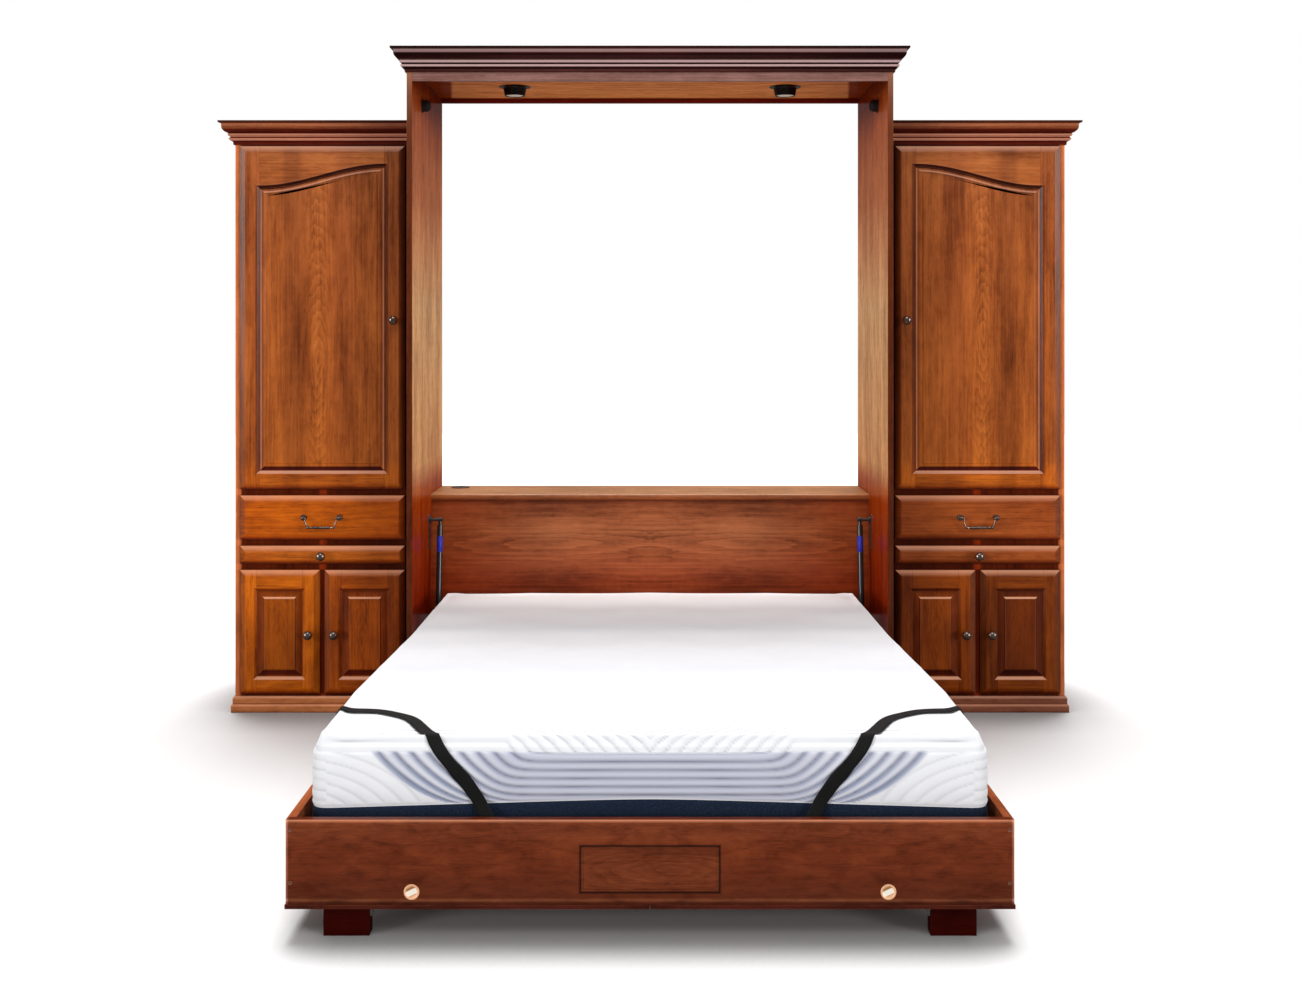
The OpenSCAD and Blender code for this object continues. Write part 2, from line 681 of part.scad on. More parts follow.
module inset_plate() color("#6e3320") block([-plate_w / 2, bed_front_y + 0.4, plate_z - plate_h / 2],
    [plate_w / 2, bed_front_y + plate_d, plate_z + plate_h / 2]);

// Slotted brass bolts in brass cups, run through the foot rail into the stringers
module brass_bolts() color("#c9a063") for (s = [-1, 1]) translate([s * stringer_x, bed_front_y, bolt_z])
    rotate([-90, 0, 0]) union() {
        difference() {
            translate([0, 0, -2]) cylinder(r = bolt_cup_r, h = 6);
            translate([0, 0, -3]) cylinder(r = 11, h = 4.5);
        }
        difference() {
            translate([0, 0, -1]) cylinder(r = 9, h = 3);
            rotate([0, 0, 55]) translate([-12, -1.25, -2]) cube([24, 2.5, 2.2]);
        }
        cylinder(r = 5, h = board_t + 50);
    }

module head_rail() color("#9a4f28")
    block([-rail_in_x, head_rail_y, rail_low], [rail_in_x, head_rail_y + board_t, rail_top - head_drop]);

module deck() color("#b98c5a")
    block([-rail_in_x, foot_in_y, deck_z], [rail_in_x, head_rail_y, deck_z + deck_t]);

module stringers() color("#b98c5a") difference() {
    for (x = [-stringer_x, 0, stringer_x])
        block([x - stringer_w / 2, foot_in_y, rail_low], [x + stringer_w / 2, head_rail_y, deck_z]);
    for (x = [-stringer_x, stringer_x])
        translate([x, foot_in_y + 60, bolt_z]) rotate([90, 0, 0]) cylinder(r = 5 + fixed_fit, h = 62);
}

// Two raised panels that make the front of the closed cabinet and the underside of the lowered bed
bed_panel_w = bed_x + 2 - 1;
bed_panel_h = panel_head_y - panel_foot_y;
module front_panels() color("#84411f") both_sides() translate([-bed_panel_w - 1, panel_head_y, leg_h])
    rotate([90, 0, 0]) raised_door(bed_panel_w, bed_panel_h, front_t, bed_stile_w, bed_stile_w,
        bed_stile_w, arch_rise * 1.4);

// Steel plates inside the side rails, with the pivot bush and the strut's stud
module mechanism_plates() color("#55524f") both_sides() translate([0, pivot_y, pivot_z]) difference() {
    union() {
        translate([rail_in_x - plate_t, 0, 0]) rotate([90, 0, 90]) linear_extrude(plate_t) union() {
            circle(r = 36);
            translate([strut_arm_y, strut_arm_z]) circle(r = 20);
            polygon([[0, 34], [strut_arm_y, strut_arm_z + 20], [strut_arm_y, strut_arm_z - 20], [0, -34]]);
        }
        rod_x(rail_in_x - plate_t - bush_in, bed_x, bush_r);
        translate([0, strut_arm_y, strut_arm_z])
            rod_x(strut_x + eye_w / 2 + rail_gap, rail_in_x - plate_t + 1, stud_r);
    }
    rod_x(rail_in_x - plate_t - bush_in - 1, bed_x + 1, pin_r + run_fit);
}

// Angle ears with a pin for each leg, under the front panels
module leg_brackets() color("#55524f") both_sides() translate([leg_x, leg_pin_y, 0]) {
    ear = leg_w / 2 + 0.5;
    for (s = [-1, 1]) on_side(s < 0) {
        block([ear, -16, leg_pin_z - 12], [ear + 2.5, 16, leg_h]);
        block([ear, -16, leg_h - 2.5], [ear + 22, 16, leg_h]);
    }
    translate([0, 0, leg_pin_z]) rod_x(-ear - 4, ear + 4, leg_pin_r);
}

// Fold-down leg, rounded at the corner that turns past the front panel
module leg() color("#6e3320") translate([-leg_x - leg_w / 2, 0, 0]) difference() {
    rotate([90, 0, 90]) linear_extrude(leg_w) union() {
        translate([leg_front_y, 0]) square([leg_t, leg_pin_z]);
        translate([leg_front_y, 0]) square([leg_t - leg_round, leg_h - touch_gap]);
        translate([leg_pin_y, leg_pin_z]) circle(r = leg_round);
    }
    translate([0, leg_pin_y, leg_pin_z]) rod_x(-1, leg_w + 1, leg_pin_r + run_fit);
}

// Outline of the mattress, drawn in by inset, anticlockwise from above; the sides bow out a little
corner_r = 70;
side_bow = 3;
function mattress_outline(inset) = let (a = mattress_w / 2 - inset - side_bow, b = mattress_l / 2 - inset - side_bow,
    r = max(20, corner_r - inset / 2), cy = (mattress_head_y + mattress_foot_y) / 2, m = 6, s = 5,
    corners = [[a - r, -b + r, -90], [a - r, b - r, 0], [-a + r, b - r, 90], [-a + r, -b + r, 180]])
    [for (k = [0:3]) let (c = corners[k], d = corners[(k + 1) % 4],
        bend = arc([c[0], c[1]], r, c[2], c[2] + 90, m), bow = side_bow * [cos(c[2] + 90), sin(c[2] + 90)],
        next = [d[0], d[1]] + r * [cos(d[2]), sin(d[2])])
        for (p = concat(bend, [for (i = [1:s]) bend[m] + (next - bend[m]) * i / (s + 1) + bow * sin(180 * i / (s + 1))]))
            [p[0], p[1] + cy]];

// Mattress: a drawn-in border in two bands with a taped seam, five channels, a rounded top edge and a crown
channel_count = 5;
channel_h = 19;
channel_z0 = mattress_t - 129;
channel_in = 4;
module mattress() color("#f2f3f6") {
    border = [[14, 0], [4, 6], [0, 20], [4, 70], [2, channel_z0 - 18], [7, channel_z0 - 12], [1.5, channel_z0 - 6]];
    channels = [for (i = [0:channel_count - 1]) for (q = [[channel_in, 0], [0, channel_h / 2]])
        [q[0] + i * 0.4, channel_z0 + i * channel_h + q[1]]];
    top = [for (q = [[4, -33], [2, -27], [8, -17], [20, -9], [38, -5], [70, -1], [120, 3], [260, 6], [520, 8]])
        [q[0], mattress_t + q[1]]];
    loft([for (ring = concat(border, channels, top))
        [for (p = mattress_outline(ring[0])) [p[0], p[1], mattress_z + ring[1]]]]);
}

// Strap over a foot corner of the mattress: sections from the foot rail's inner face, up the front,
// across the corner and down the side to the side rail's inner face
strap_t = 1.6;
strap_off = 1.2;
strap_edge_r = 36;
strap_front_x = 501;
strap_side_y = 345;
module strap() {
    top_z = mattress_z + mattress_t - 4 + strap_off;
    face_y = mattress_foot_y - strap_off;
    face_x = mattress_w / 2 + strap_off;
    run = mattress_w / 2 - strap_front_x;
    lean_x = run / strap_side_y;
    lean_y = strap_side_y / run;
    half_x = strap_w / 2 * sqrt(1 + lean_x * lean_x);
    half_y = strap_w / 2 * sqrt(1 + lean_y * lean_y);
    low_z = rail_top + 24;
    end_z = rail_top - 40;
    r = strap_edge_r;
    front = concat([[strap_front_x - (top_z - end_z) * lean_x, foot_in_y + strap_t + 0.1, end_z, 0, -1]],
        [for (z = [low_z, top_z - r]) [strap_front_x - (top_z - z) * lean_x, face_y, z, 0, -1]],
        [for (a = [30:30:90]) [strap_front_x + a / 90 * r * lean_x, face_y + r * (1 - cos(a)),
            top_z - r + r * sin(a), a, -1]]);
    side = concat([for (a = [90:-30:0]) [face_x - r + r * cos(a),
        mattress_foot_y + strap_side_y + (90 - a) / 90 * r * lean_y, top_z - r + r * sin(a), a, 1]],
        [[face_x, mattress_foot_y + strap_side_y + (top_z - low_z) * lean_y, low_z, 0, 1],
        [rail_in_x - strap_t - 0.1, mattress_foot_y + strap_side_y + (top_z - end_z) * lean_y, end_z, 0, 1]]);
    over = [for (f = [0.25, 0.5, 0.75]) [strap_front_x + r * lean_x + f * (run - 2 * r * lean_x),
        mattress_foot_y + r + f * (strap_side_y - r), top_z + 9.5 * sin(180 * f), 90, 0]];
    square_on = strap_w / 2 / norm([run, strap_side_y]) * [strap_side_y, -run, 0];
    loft([for (s = concat(front, over, side)) let (
        across = s[4] < 0 ? [half_x, 0, 0] : s[4] > 0 ? [0, -half_y, 0] : square_on,
        out = s[4] < 0 ? [0, -cos(s[3]), sin(s[3])] : [cos(s[3]), 0, sin(s[3])],
        c = [s[0], s[1], s[2]])
        [c - across, c - across + out * strap_t, c + across + out * strap_t, c + across]]);
}

module straps() color("#151515") both_sides() strap();

module upper_door() color("#84411f") place_door(front_x, 1, upper_door_z) difference() {
    raised_door(front_w, upper_door_h, door_t, stile_w, rail_w, top_rail_w, arch_rise);
    cup_bores(upper_hinge_zs, door_t);
}

knob_in = 37;
upper_knob_z = 600;
lower_knob_z = 212;
module upper_fittings() color("#3a2f2b") place_door(front_x, 1, upper_door_z) {
    hinge_cups(upper_hinge_zs, door_t);
    translate([front_w - knob_in, 0, upper_knob_z]) knob();
}

module lower_door() color("#84411f") difference() {
    raised_door(lower_door_w, lower_door_h, door_t, small_rail_w, small_rail_w, small_top_w, 0);
    cup_bores(lower_hinge_zs, door_t);
}

module lower_fittings() color("#3a2f2b") {
    hinge_cups(lower_hinge_zs, door_t);
    translate([lower_door_w - knob_in, 0, lower_knob_z]) knob();
}

module outer_door_place() place_door(front_x, 1, lower_door_z) children();
module inner_door_place() place_door(front_x + front_w, -1, lower_door_z) children();

// Drawer: bevelled front and a box of five boards
module drawer() color("#84411f") {
    x0 = open_x0 + box_side;
    x1 = open_x1 - box_side;
    y0 = front_face_y + door_t;
    y1 = y0 + drawer_l;
    z1 = box_z0 + box_h;
    translate([front_x, front_face_y, drawer_z]) bevelled_slab(front_w, drawer_h, door_t, edge_bevel_w, edge_bevel_d);
    block([x0, y0, box_z0], [x0 + box_t, y1, z1]);
    block([x1 - box_t, y0, box_z0], [x1, y1, z1]);
    block([x0 + box_t, y0, box_z0], [x1 - box_t, y0 + box_t, z1]);
    block([x0 + box_t, y1 - box_t, box_z0], [x1 - box_t, y1, z1]);
    block([x0 + box_t, y0 + box_t, box_z0 + 6], [x1 - box_t, y1 - box_t, box_z0 + 12]);
}

// Posts of the bail pull and the runners screwed to the drawer's sides
module drawer_fittings() color("#3a2f2b") {
    mid = box_z0 + box_h / 2;
    member = box_side - 2 - rail_gap;
    for (s = [-1, 1]) translate([pull_x + s * pull_pitch / 2, front_face_y, pull_z]) difference() {
        union() {
            rotate([90, 0, 0]) cylinder(r = 11, h = 3);
            rotate([90, 0, 0]) cylinder(r1 = 8, r2 = 4.5, h = 9);
            rotate([90, 0, 0]) cylinder(r = 4.5, h = pull_out);
            translate([0, -pull_out, 0]) rod_x(-eye_post_w / 2, eye_post_w / 2, 6.5);
        }
        translate([0, -pull_out, 0]) rod_x(-eye_post_w, eye_post_w, bail_pin_r + run_fit);
    }
    for (side = [0, 1]) translate([side == 0 ? open_x0 + box_side : open_x1 - box_side, 0, mid])
        on_side(side == 1) {
            block([-member, front_face_y + door_t + 1, -13], [0, front_face_y + door_t + drawer_l - 4, 13]);
            block([-member, front_face_y + door_t + 1, -19 + touch_gap],
                [-member + 3, front_face_y + door_t + drawer_l - 4, 19 - touch_gap]);
        }
}

// Bail: two pins, two arms, two bends and a grip
module bail() color("#3a2f2b") translate([pull_x, pull_y, pull_z]) for (s = [0, 1]) on_side(s == 1) {
    rod_x(bail_x - bail_r, pull_pitch / 2 + 2, bail_pin_r);
    translate([bail_x, 0, -(bail_drop - bail_bend)]) cylinder(r = bail_r, h = bail_drop - bail_bend);
    translate([bail_x, 0, 0]) sphere(r = bail_r);
    translate([bail_x - bail_bend, 0, -(bail_drop - bail_bend)]) rotate([90, 0, 0])
        rotate([0, 0, -90]) rotate_extrude(angle = 90) translate([bail_bend, 0]) circle(r = bail_r);
    translate([0, 0, -bail_drop]) rod_x(-1, bail_x - bail_bend, bail_r);
    translate([0, 0, -bail_drop]) rod_x(-1, 22, bail_r + 1);
}

// Pull-out tray: bevelled front, board and knob
module tray() color("#84411f") {
    translate([front_x, front_face_y, tray_z]) bevelled_slab(front_w, tray_h, door_t, edge_bevel_w * 0.7, edge_bevel_d);
    block([open_x0 + tray_runner_w - tray_lip, front_face_y + door_t, tray_board_z],
        [open_x1 - tray_runner_w + tray_lip, front_face_y + door_t + tray_l, tray_board_z + tray_board_t]);
    translate([front_x + front_w / 2, front_face_y, tray_z + tray_h / 2 - 3]) knob();
}

side_panels();
top_board();
fascia_rail();
wall_cleats();
headboard_panel();
ledge();
toe_board();
centre_crown();
cable_grommet();
light_housings();
light_lenses();
rubber_catches();
strut_brackets();
pivot_pins();
pier_sides();
pier_shelves();
pier_backs();
face_frames();
pier_crowns();
base_mouldings();
hinge_arms();
slide_rails();
place_strut(false) strut_cylinder();  // left_strut_cylinder
place_strut(false) strut_rod();  // left_strut_rod
place_strut(true) strut_cylinder();  // right_strut_cylinder
place_strut(true) strut_rod();  // right_strut_rod
bed_side_rails();
foot_rail();
head_rail();
deck();
stringers();
front_panels();
inset_plate();
brass_bolts();
mechanism_plates();
leg_brackets();
leg();  // left_leg
on_side(true) leg();  // right_leg
mattress();
straps();
upper_door();  // left_upper_door
upper_fittings();  // left_upper_fittings
on_side(true) upper_door();  // right_upper_door
on_side(true) upper_fittings();  // right_upper_fittings
outer_door_place() lower_door();  // left_outer_door
outer_door_place() lower_fittings();  // left_outer_fittings
inner_door_place() lower_door();  // left_inner_door
inner_door_place() lower_fittings();  // left_inner_fittings
on_side(true) inner_door_place() lower_door();  // right_inner_door
on_side(true) inner_door_place() lower_fittings();  // right_inner_fittings
on_side(true) outer_door_place() lower_door();  // right_outer_door
on_side(true) outer_door_place() lower_fittings();  // right_outer_fittings
drawer();  // left_drawer
drawer_fittings();  // left_drawer_fittings
bail();  // left_bail
on_side(true) drawer();  // right_drawer
on_side(true) drawer_fittings();  // right_drawer_fittings
on_side(true) bail();  // right_bail
tray();  // left_tray
on_side(true) tray();  // right_tray
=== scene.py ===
import bmesh
import bpy
import math
import numpy as np
from mathutils import Matrix, Vector
from mathutils.bvhtree import BVHTree


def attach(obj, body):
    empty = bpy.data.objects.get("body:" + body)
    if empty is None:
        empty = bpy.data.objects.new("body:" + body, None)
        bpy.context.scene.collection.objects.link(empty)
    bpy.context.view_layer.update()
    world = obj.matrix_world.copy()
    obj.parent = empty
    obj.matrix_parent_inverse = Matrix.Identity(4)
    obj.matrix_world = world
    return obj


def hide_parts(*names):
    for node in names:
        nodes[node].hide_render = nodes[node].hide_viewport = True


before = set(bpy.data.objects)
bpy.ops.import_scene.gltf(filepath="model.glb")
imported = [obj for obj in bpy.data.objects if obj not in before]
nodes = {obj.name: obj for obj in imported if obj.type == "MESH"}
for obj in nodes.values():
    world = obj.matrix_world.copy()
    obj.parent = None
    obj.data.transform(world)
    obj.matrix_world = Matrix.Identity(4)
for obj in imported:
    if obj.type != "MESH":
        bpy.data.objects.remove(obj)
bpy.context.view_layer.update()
hands = ((-1, "left"), (1, "right"))
work = {}  # the node tree that newNode adds to, and a finish's output node
print("frame loaded:", len(nodes), "CAD nodes")


def srgb(red, green, blue):  # a colour as a picture gives it, made linear
    return tuple((c / 255 / 12.92 if c <= 10 else ((c / 255 + 0.055) / 1.055) ** 2.4) for c in (red, green, blue))


def gray(level):
    return (level, level, level)


def times(colour, shares, add=0.0, top=9.0):
    return tuple(min(top, c * k + add) for c, k in zip(colour, shares))


# ---- shader nodes


class Signal:  # a node's output: arithmetic on it makes further nodes
    def __init__(self, socket):
        self.socket = socket

    def __add__(self, other):
        return calc("ADD", self, other)

    def __sub__(self, other):
        return calc("SUBTRACT", self, other)

    def __rsub__(self, other):
        return calc("SUBTRACT", other, self)

    def __mul__(self, other):
        return calc("MULTIPLY", self, other)

    def __truediv__(self, other):
        return calc("DIVIDE", self, other)

    def __lt__(self, other):
        return calc("LESS_THAN", self, other)

    def __gt__(self, other):
        return calc("GREATER_THAN", self, other)

    def __abs__(self):
        return calc("ABSOLUTE", self)


def feed(node, values):  # values: what goes into each named or numbered input
    for key, value in values.items():
        socket = node.inputs[key]
        if isinstance(value, Signal):
            value = value.socket
        if isinstance(value, bpy.types.NodeSocket):
            work["tree"].links.new(value, socket)
        elif value is not None:
            if socket.type == "RGBA" and len(value) == 3:
                value = (*value, 1.0)
            socket.default_value = value


def newNode(kind, values={}, **settings):
    node = work["tree"].nodes.new("ShaderNode" + kind)
    for name, value in settings.items():
        setattr(node, name, value)
    feed(node, values)
    return node


def newSignal(kind, values={}, output=0, **settings):
    return Signal(newNode(kind, values, **settings).outputs[output])


def calc(operation, *values, clamp=False):
    return newSignal("Math", dict(enumerate(values)), operation=operation, use_clamp=clamp)


def axes(x=0.0, y=0.0, z=0.0):
    return newSignal("CombineXYZ", {0: x, 1: y, 2: z})


def scaled(spot, size):
    return axes(*(v * k for v, k in zip(spot, size if isinstance(size, tuple) else gray(size))))


def place():  # Object coordinates, split into x, y and z
    split = newNode("SeparateXYZ", {0: newNode("TexCoord").outputs["Object"]})
    return tuple(map(Signal, split.outputs))


def cloud(vector, detail=2.0, rough=0.5, twist=0.0):
    return newSignal("TexNoise", {"Vector": vector, "Scale": 1.0, "Detail": detail, "Roughness": rough,
        "Distortion": twist}, "Fac")


def spread(value, low, high, outLow=0.0, outHigh=1.0):
    return newSignal("MapRange", {0: value, 1: low, 2: high, 3: outLow, 4: outHigh})


def ramp(factor, stops):  # stops: (position, colour) or (position, colour, alpha)
    node = newNode("ValToRGB", {0: factor})
    elements = node.color_ramp.elements
    while len(elements) < len(stops):
        elements.new(0.5)
    for element, (at, colour, *alpha) in zip(elements, stops):
        element.position = at
        element.color = (*colour, *(alpha or [1.0]))
    return map(Signal, node.outputs)


def mixed(factor, low, high, mode="MIX"):
    return newSignal("Mix", {0: factor, 6: low, 7: high}, 2, data_type="RGBA", blend_type=mode, clamp_result=False)


def raised(height, distance, strength=1.0):
    return newSignal("Bump", {"Height": height, "Distance": distance, "Strength": strength})


def closeness(distance, inside=False):  # 1 in a recess, or along an outer edge if inside
    return calc("SUBTRACT", 1.0, newSignal("AmbientOcclusion", {"Distance": distance}, "AO", samples=6, inside=inside),
        clamp=True)


def freshTree(owner):
    owner.use_nodes = True
    work["tree"] = owner.node_tree
    work["tree"].nodes.clear()


def newFinish(name):
    made = bpy.data.materials.new(name)
    freshTree(made)
    shader = newNode("BsdfPrincipled")
    work["end"] = newNode("OutputMaterial", {0: shader.outputs[0]})
    return made, shader


def newPiece(name, mesh):
    piece = bpy.data.objects.new(name, mesh)
    bpy.context.scene.collection.objects.link(piece)
    return piece


def pieceFrom(build, name, finish=None):
    mesh = bpy.data.meshes.new(name)
    build.to_mesh(mesh)
    build.free()
    if finish:
        mesh.materials.append(finish)
    return newPiece(name, mesh)


# ---- camera, floor and light

cameraLook = {"place": (0.0, -5.87, 1.354), "lens": 41.4, "sensor": 36.0, "shiftY": -0.1293, "far": 60}
lightLook = {"ambient": 0.17, "seen": 1.0, "floorBounce": 0.5, "floorShine": 0.12, "floorWhite": 0.92,
    "floorNear": 0.56, "floorReach": 0.3, "floorFade": (0.05, 0.5), "besideBed": (0.7, 0.84), "besideFront": -1.2,
    "besideLeft": 0.35,
    "suns": {"leftKey": (1.4, 9, 130, 20), "rightKey": (1.4, 9, -130, 20), "frontTop": (0.78, 50, 180, 28),
    "backTop": (3.1, 73, 0, 32)}}


def placeCamera():
    data = bpy.data.cameras.new("photoCamera")
    data.sensor_fit = "HORIZONTAL"
    data.sensor_width = cameraLook["sensor"]
    data.lens = cameraLook["lens"]
    data.shift_y = cameraLook["shiftY"]
    data.clip_end = cameraLook["far"]
    camera = newPiece("photoCamera", data)
    camera.location = cameraLook["place"]
    camera.rotation_euler = (math.radians(90), 0, 0)
    bpy.context.scene.camera = camera


def makeStudio():
    world = bpy.data.worlds.new("studioWorld")
    bpy.context.scene.world = world
    freshTree(world)
    seen = newNode("LightPath").outputs["Is Camera Ray"]
    back = newNode("Background", {"Strength": spread(seen, 0.0, 1.0, lightLook["ambient"], lightLook["seen"]),
        "Color": gray(1.0)})
    newNode("OutputWorld", {0: back.outputs[0]})

    for name, (power, up, turn, soft) in lightLook["suns"].items():
        # up is the height in degrees, turn the way that it comes from: 0 behind the bed, 180 in front
        data = bpy.data.lights.new(name, "SUN")
        data.energy = power
        data.angle = math.radians(soft)
        up, turn = math.radians(up), math.radians(turn)
        toward = Vector((-math.sin(turn) * math.cos(up), math.cos(turn) * math.cos(up), math.sin(up)))
        newPiece(name, data).rotation_euler = toward.to_track_quat("Z", "Y").to_euler()

    build = bmesh.new()
    bmesh.ops.create_grid(build, x_segments=1, y_segments=1, size=14)
    finish = bpy.data.materials.new("paleFloor")
    floor = pieceFrom(build, "studioFloor", finish)
    freshTree(finish)
    rays = newNode("LightPath")
    level = spread(rays.outputs["Is Glossy Ray"], 0.0, 1.0, lightLook["floorBounce"], lightLook["floorShine"])
    # painted contact shadow: the floor's colour is darkened near the pieces, less beside the bed's sides
    near = spread(closeness(lightLook["floorReach"]), *lightLook["floorFade"]) * lightLook["floorNear"]
    x, y, _ = place()
    beside = spread(abs(x), *lightLook["besideBed"]) * (y < lightLook["besideFront"])
    near = near * spread(beside, 0.0, 1.0, 1.0, lightLook["besideLeft"])
    pale = mixed(near, gray(lightLook["floorWhite"]), gray(0.0))
    colour = mixed(rays.outputs["Is Camera Ray"], axes(level, level, level), pale)
    newNode("OutputMaterial", {0: newNode("BsdfDiffuse", {"Color": colour}).outputs[0]})
    bpy.context.scene.view_settings.view_transform = "Standard"
    print("camera, lamps and floor placed")


placeCamera()
makeStudio()

# ---- wood

# how strong each part of the grain is, its gain, and what else a board has unless its call says otherwise
woodLook = {"broad": 0.74, "figure": 0.34, "streak": 0.56, "mottle": 0.36, "pore": 0.52, "rough": 0.36,
    "broadGain": 1.9, "windowGain": 0.13, "streakGain": 1.6, "mottleGain": 1.5, "poreGain": 0.5, "paired": False,
    "wideSide": False, "flip": 1.0, "bend": 0.035, "boardShifts": (1.53, 2.07, 2.79), "figureAt": (0.0, 0.0),
    "figureWide": 0.075, "ringScale": 34.0, "stretch": 0.21, "pores": (0.3, 0.44), "sheenTone": (236, 170, 134),
    "frontPlane": -0.74, "frontEdge": -0.7385, "endsLean": 0.0, "shadeAndJointTone": (0.2, 0.12, 0.12), "hollow": 0.75,
    "hollowReach": 0.014, "hollowFade": (0.22, 0.75), "rub": 0.45, "rubReach": 0.0022, "rubFade": (0.25, 0.7),
    "rubTone": (1.7, 1.8, 2.0), "jointHalf": 0.0005, "jointDark": 0.55, "specular": 0.1, "coat": 0.12}
# sizes across, deep and along the board, then detail, roughness and twist
grainLook = {"warp": ((3.4, 3.0, 1.1), 2.0), "broad": ((11.0, 6.0, 1.9), 3.0, 0.58),
    "streak": ((150.0, 60.0, 4.0), 4.0, 0.62), "mottle": ((34.0, 30.0, 15.0), 3.0, 0.6, 0.6),
    "pore": ((1100.0, 500.0, 34.0), 1.5)}
ringsLook = {"Distortion": 8.0, "Detail": 3.0, "Detail Scale": 1.4, "Detail Roughness": 0.6}
woodTones = ((0.0, (0.3, 0.24, 0.22)), (0.32, (0.68, 0.62, 0.58)), (0.58, gray(1.0)), (1.0, (1.45, 1.58, 1.66)))
upperDoor = {"hinged": 1.459, "free": 0.872, "low": 0.795, "high": 2.015, "stile": 0.072, "rail": 0.066, "top": 0.074,
    "rise": 0.077}
outerDoor = {"hinged": 1.459, "free": 1.174, "low": 0.068, "high": 0.508, "stile": 0.061, "rail": 0.061, "top": 0.074,
    "rise": 0.0}
innerDoor = dict(outerDoor, hinged=0.872, free=1.157)


def nearest(*gaps):
    least = gaps[0]
    for gap in gaps[1:]:
        least = calc("MINIMUM", least, gap)
    return least


def shaded(colour, at, stops, sheenTone, only=None):
    # stops: (place, tint, sheen) from low to high; the colour is multiplied by the tint, which paints light and shade,
    # and lightened by the painted sheen
    first, last = stops[0][0], stops[-1][0]
    tint, sheen = ramp(spread(at, first, last), [((spot - first) / (last - first), tint if isinstance(tint,
        tuple) else gray(tint), *(sheen or [0.0])) for spot, tint, *sheen in stops])
    if only is not None:
        tint, sheen = mixed(only, gray(1.0), tint), sheen * only
    return mixed(sheen, mixed(1.0, colour, tint, "MULTIPLY"), sheenTone)


def framed(colour, gaps, bands, sheenTone):
    # gaps: distances inward from the two sides, the bottom and the top of a rectangle; bands for side, low and high
    least = nearest(*gaps)
    isHigh, isLow = gaps[3] < least + 1e-5, gaps[2] < least + 1e-5
    for name, only in (("side", 1.0 - calc("MAXIMUM", isHigh, isLow)), ("low", isLow), ("high", isHigh)):
        colour = shaded(colour, least, bands[name], sheenTone, only)
    return colour


# painted shade in the quirk round an inset plate
quirkShadeBands = [(-0.008, 1.0), (-0.0062, 0.72), (-0.0045, 0.92), (-0.0022, 0.85), (-0.0012, 0.22), (0.0022, 0.25),
    (0.0035, 0.8), (0.006, 1.0)]
# painted shade on what faces down and in the quirks; painted sheen on what faces up
edgeBands = {"high": [(0.0, 0.45), (0.002, 1.0, 0.5), (0.008, 1.0, 0.45), (0.0142, 1.0, 0.24), (0.0205, 0.95, 0.07),
    (0.024, 1.0)],
    "low": [(0.0, (0.22, 0.1, 0.05)), (0.004, (0.34, 0.2, 0.12)), (0.01, (0.72, 0.58, 0.42)),
    (0.0185, (1.0, 0.98, 0.95)), (0.024, 1.0)],
    "side": [(0.0, 0.45), (0.01, (0.62, 0.6, 0.6)), (0.018, (0.66, 0.62, 0.6)), (0.021, 0.92), (0.024, 1.0)]}
narrowBands = {"high": [(-0.016, 1.0), (-0.0112, (1.05, 1.1, 1.2), 0.06), (-0.0096, (0.1, 0.05, 0.04)),
    (0.0026, (0.12, 0.06, 0.05)), (0.0052, (0.66, 0.6, 0.55)), (0.0096, (0.85, 0.8, 0.78), 0.06), (0.0118, 1.0, 0.5),
    (0.0152, 1.0, 0.42), (0.0176, 0.5), (0.024, 1.0)],
    "low": [(-0.016, 1.0), (-0.0118, (0.8, 0.75, 0.7)), (-0.01, 1.0, 0.66), (-0.0012, 1.0, 0.72),
    (0.001, (0.15, 0.05, 0.04)), (0.0136, (0.13, 0.04, 0.03)), (0.016, 0.88), (0.024, 1.0)],
    "side": [(-0.016, 1.0), (-0.0128, (0.62, 0.52, 0.44)), (-0.005, (0.4, 0.28, 0.2)), (-0.0024, (0.2, 0.11, 0.08)),
    (0.0008, (0.22, 0.13, 0.1)), (0.0024, (1.0, 1.05, 1.1), 0.34), (0.0056, 1.0, 0.26), (0.008, (0.6, 0.5, 0.4)),
    (0.0128, (0.76, 0.7, 0.62)), (0.017, 1.0), (0.024, 1.0)]}
wideBands = {"high": [(-0.012, 1.0), (-0.0076, (0.55, 0.4, 0.3)), (-0.0006, (0.3, 0.18, 0.12)),
    (0.004, (0.55, 0.45, 0.35)), (0.0206, (0.85, 0.8, 0.75)), (0.0232, 1.0, 0.78), (0.0276, 1.0, 0.72), (0.0294, 0.88),
    (0.032, 1.0)],
    "low": [(-0.012, 1.0), (-0.0086, 1.0, 0.74), (-0.0006, 1.0, 0.7), (0.0012, 0.85), (0.0066, (0.28, 0.12, 0.06)),
    (0.0222, (0.2, 0.08, 0.05)), (0.025, 0.88), (0.032, 1.0)],
    "side": [(-0.012, 1.0), (-0.0076, (0.8, 0.75, 0.7)), (-0.0006, (0.7, 0.6, 0.5)), (0.0038, (0.52, 0.4, 0.28)),
    (0.0214, (0.8, 0.68, 0.42)), (0.0242, (0.5, 0.36, 0.2)), (0.0276, 0.92, 0.05), (0.032, 1.0)]}


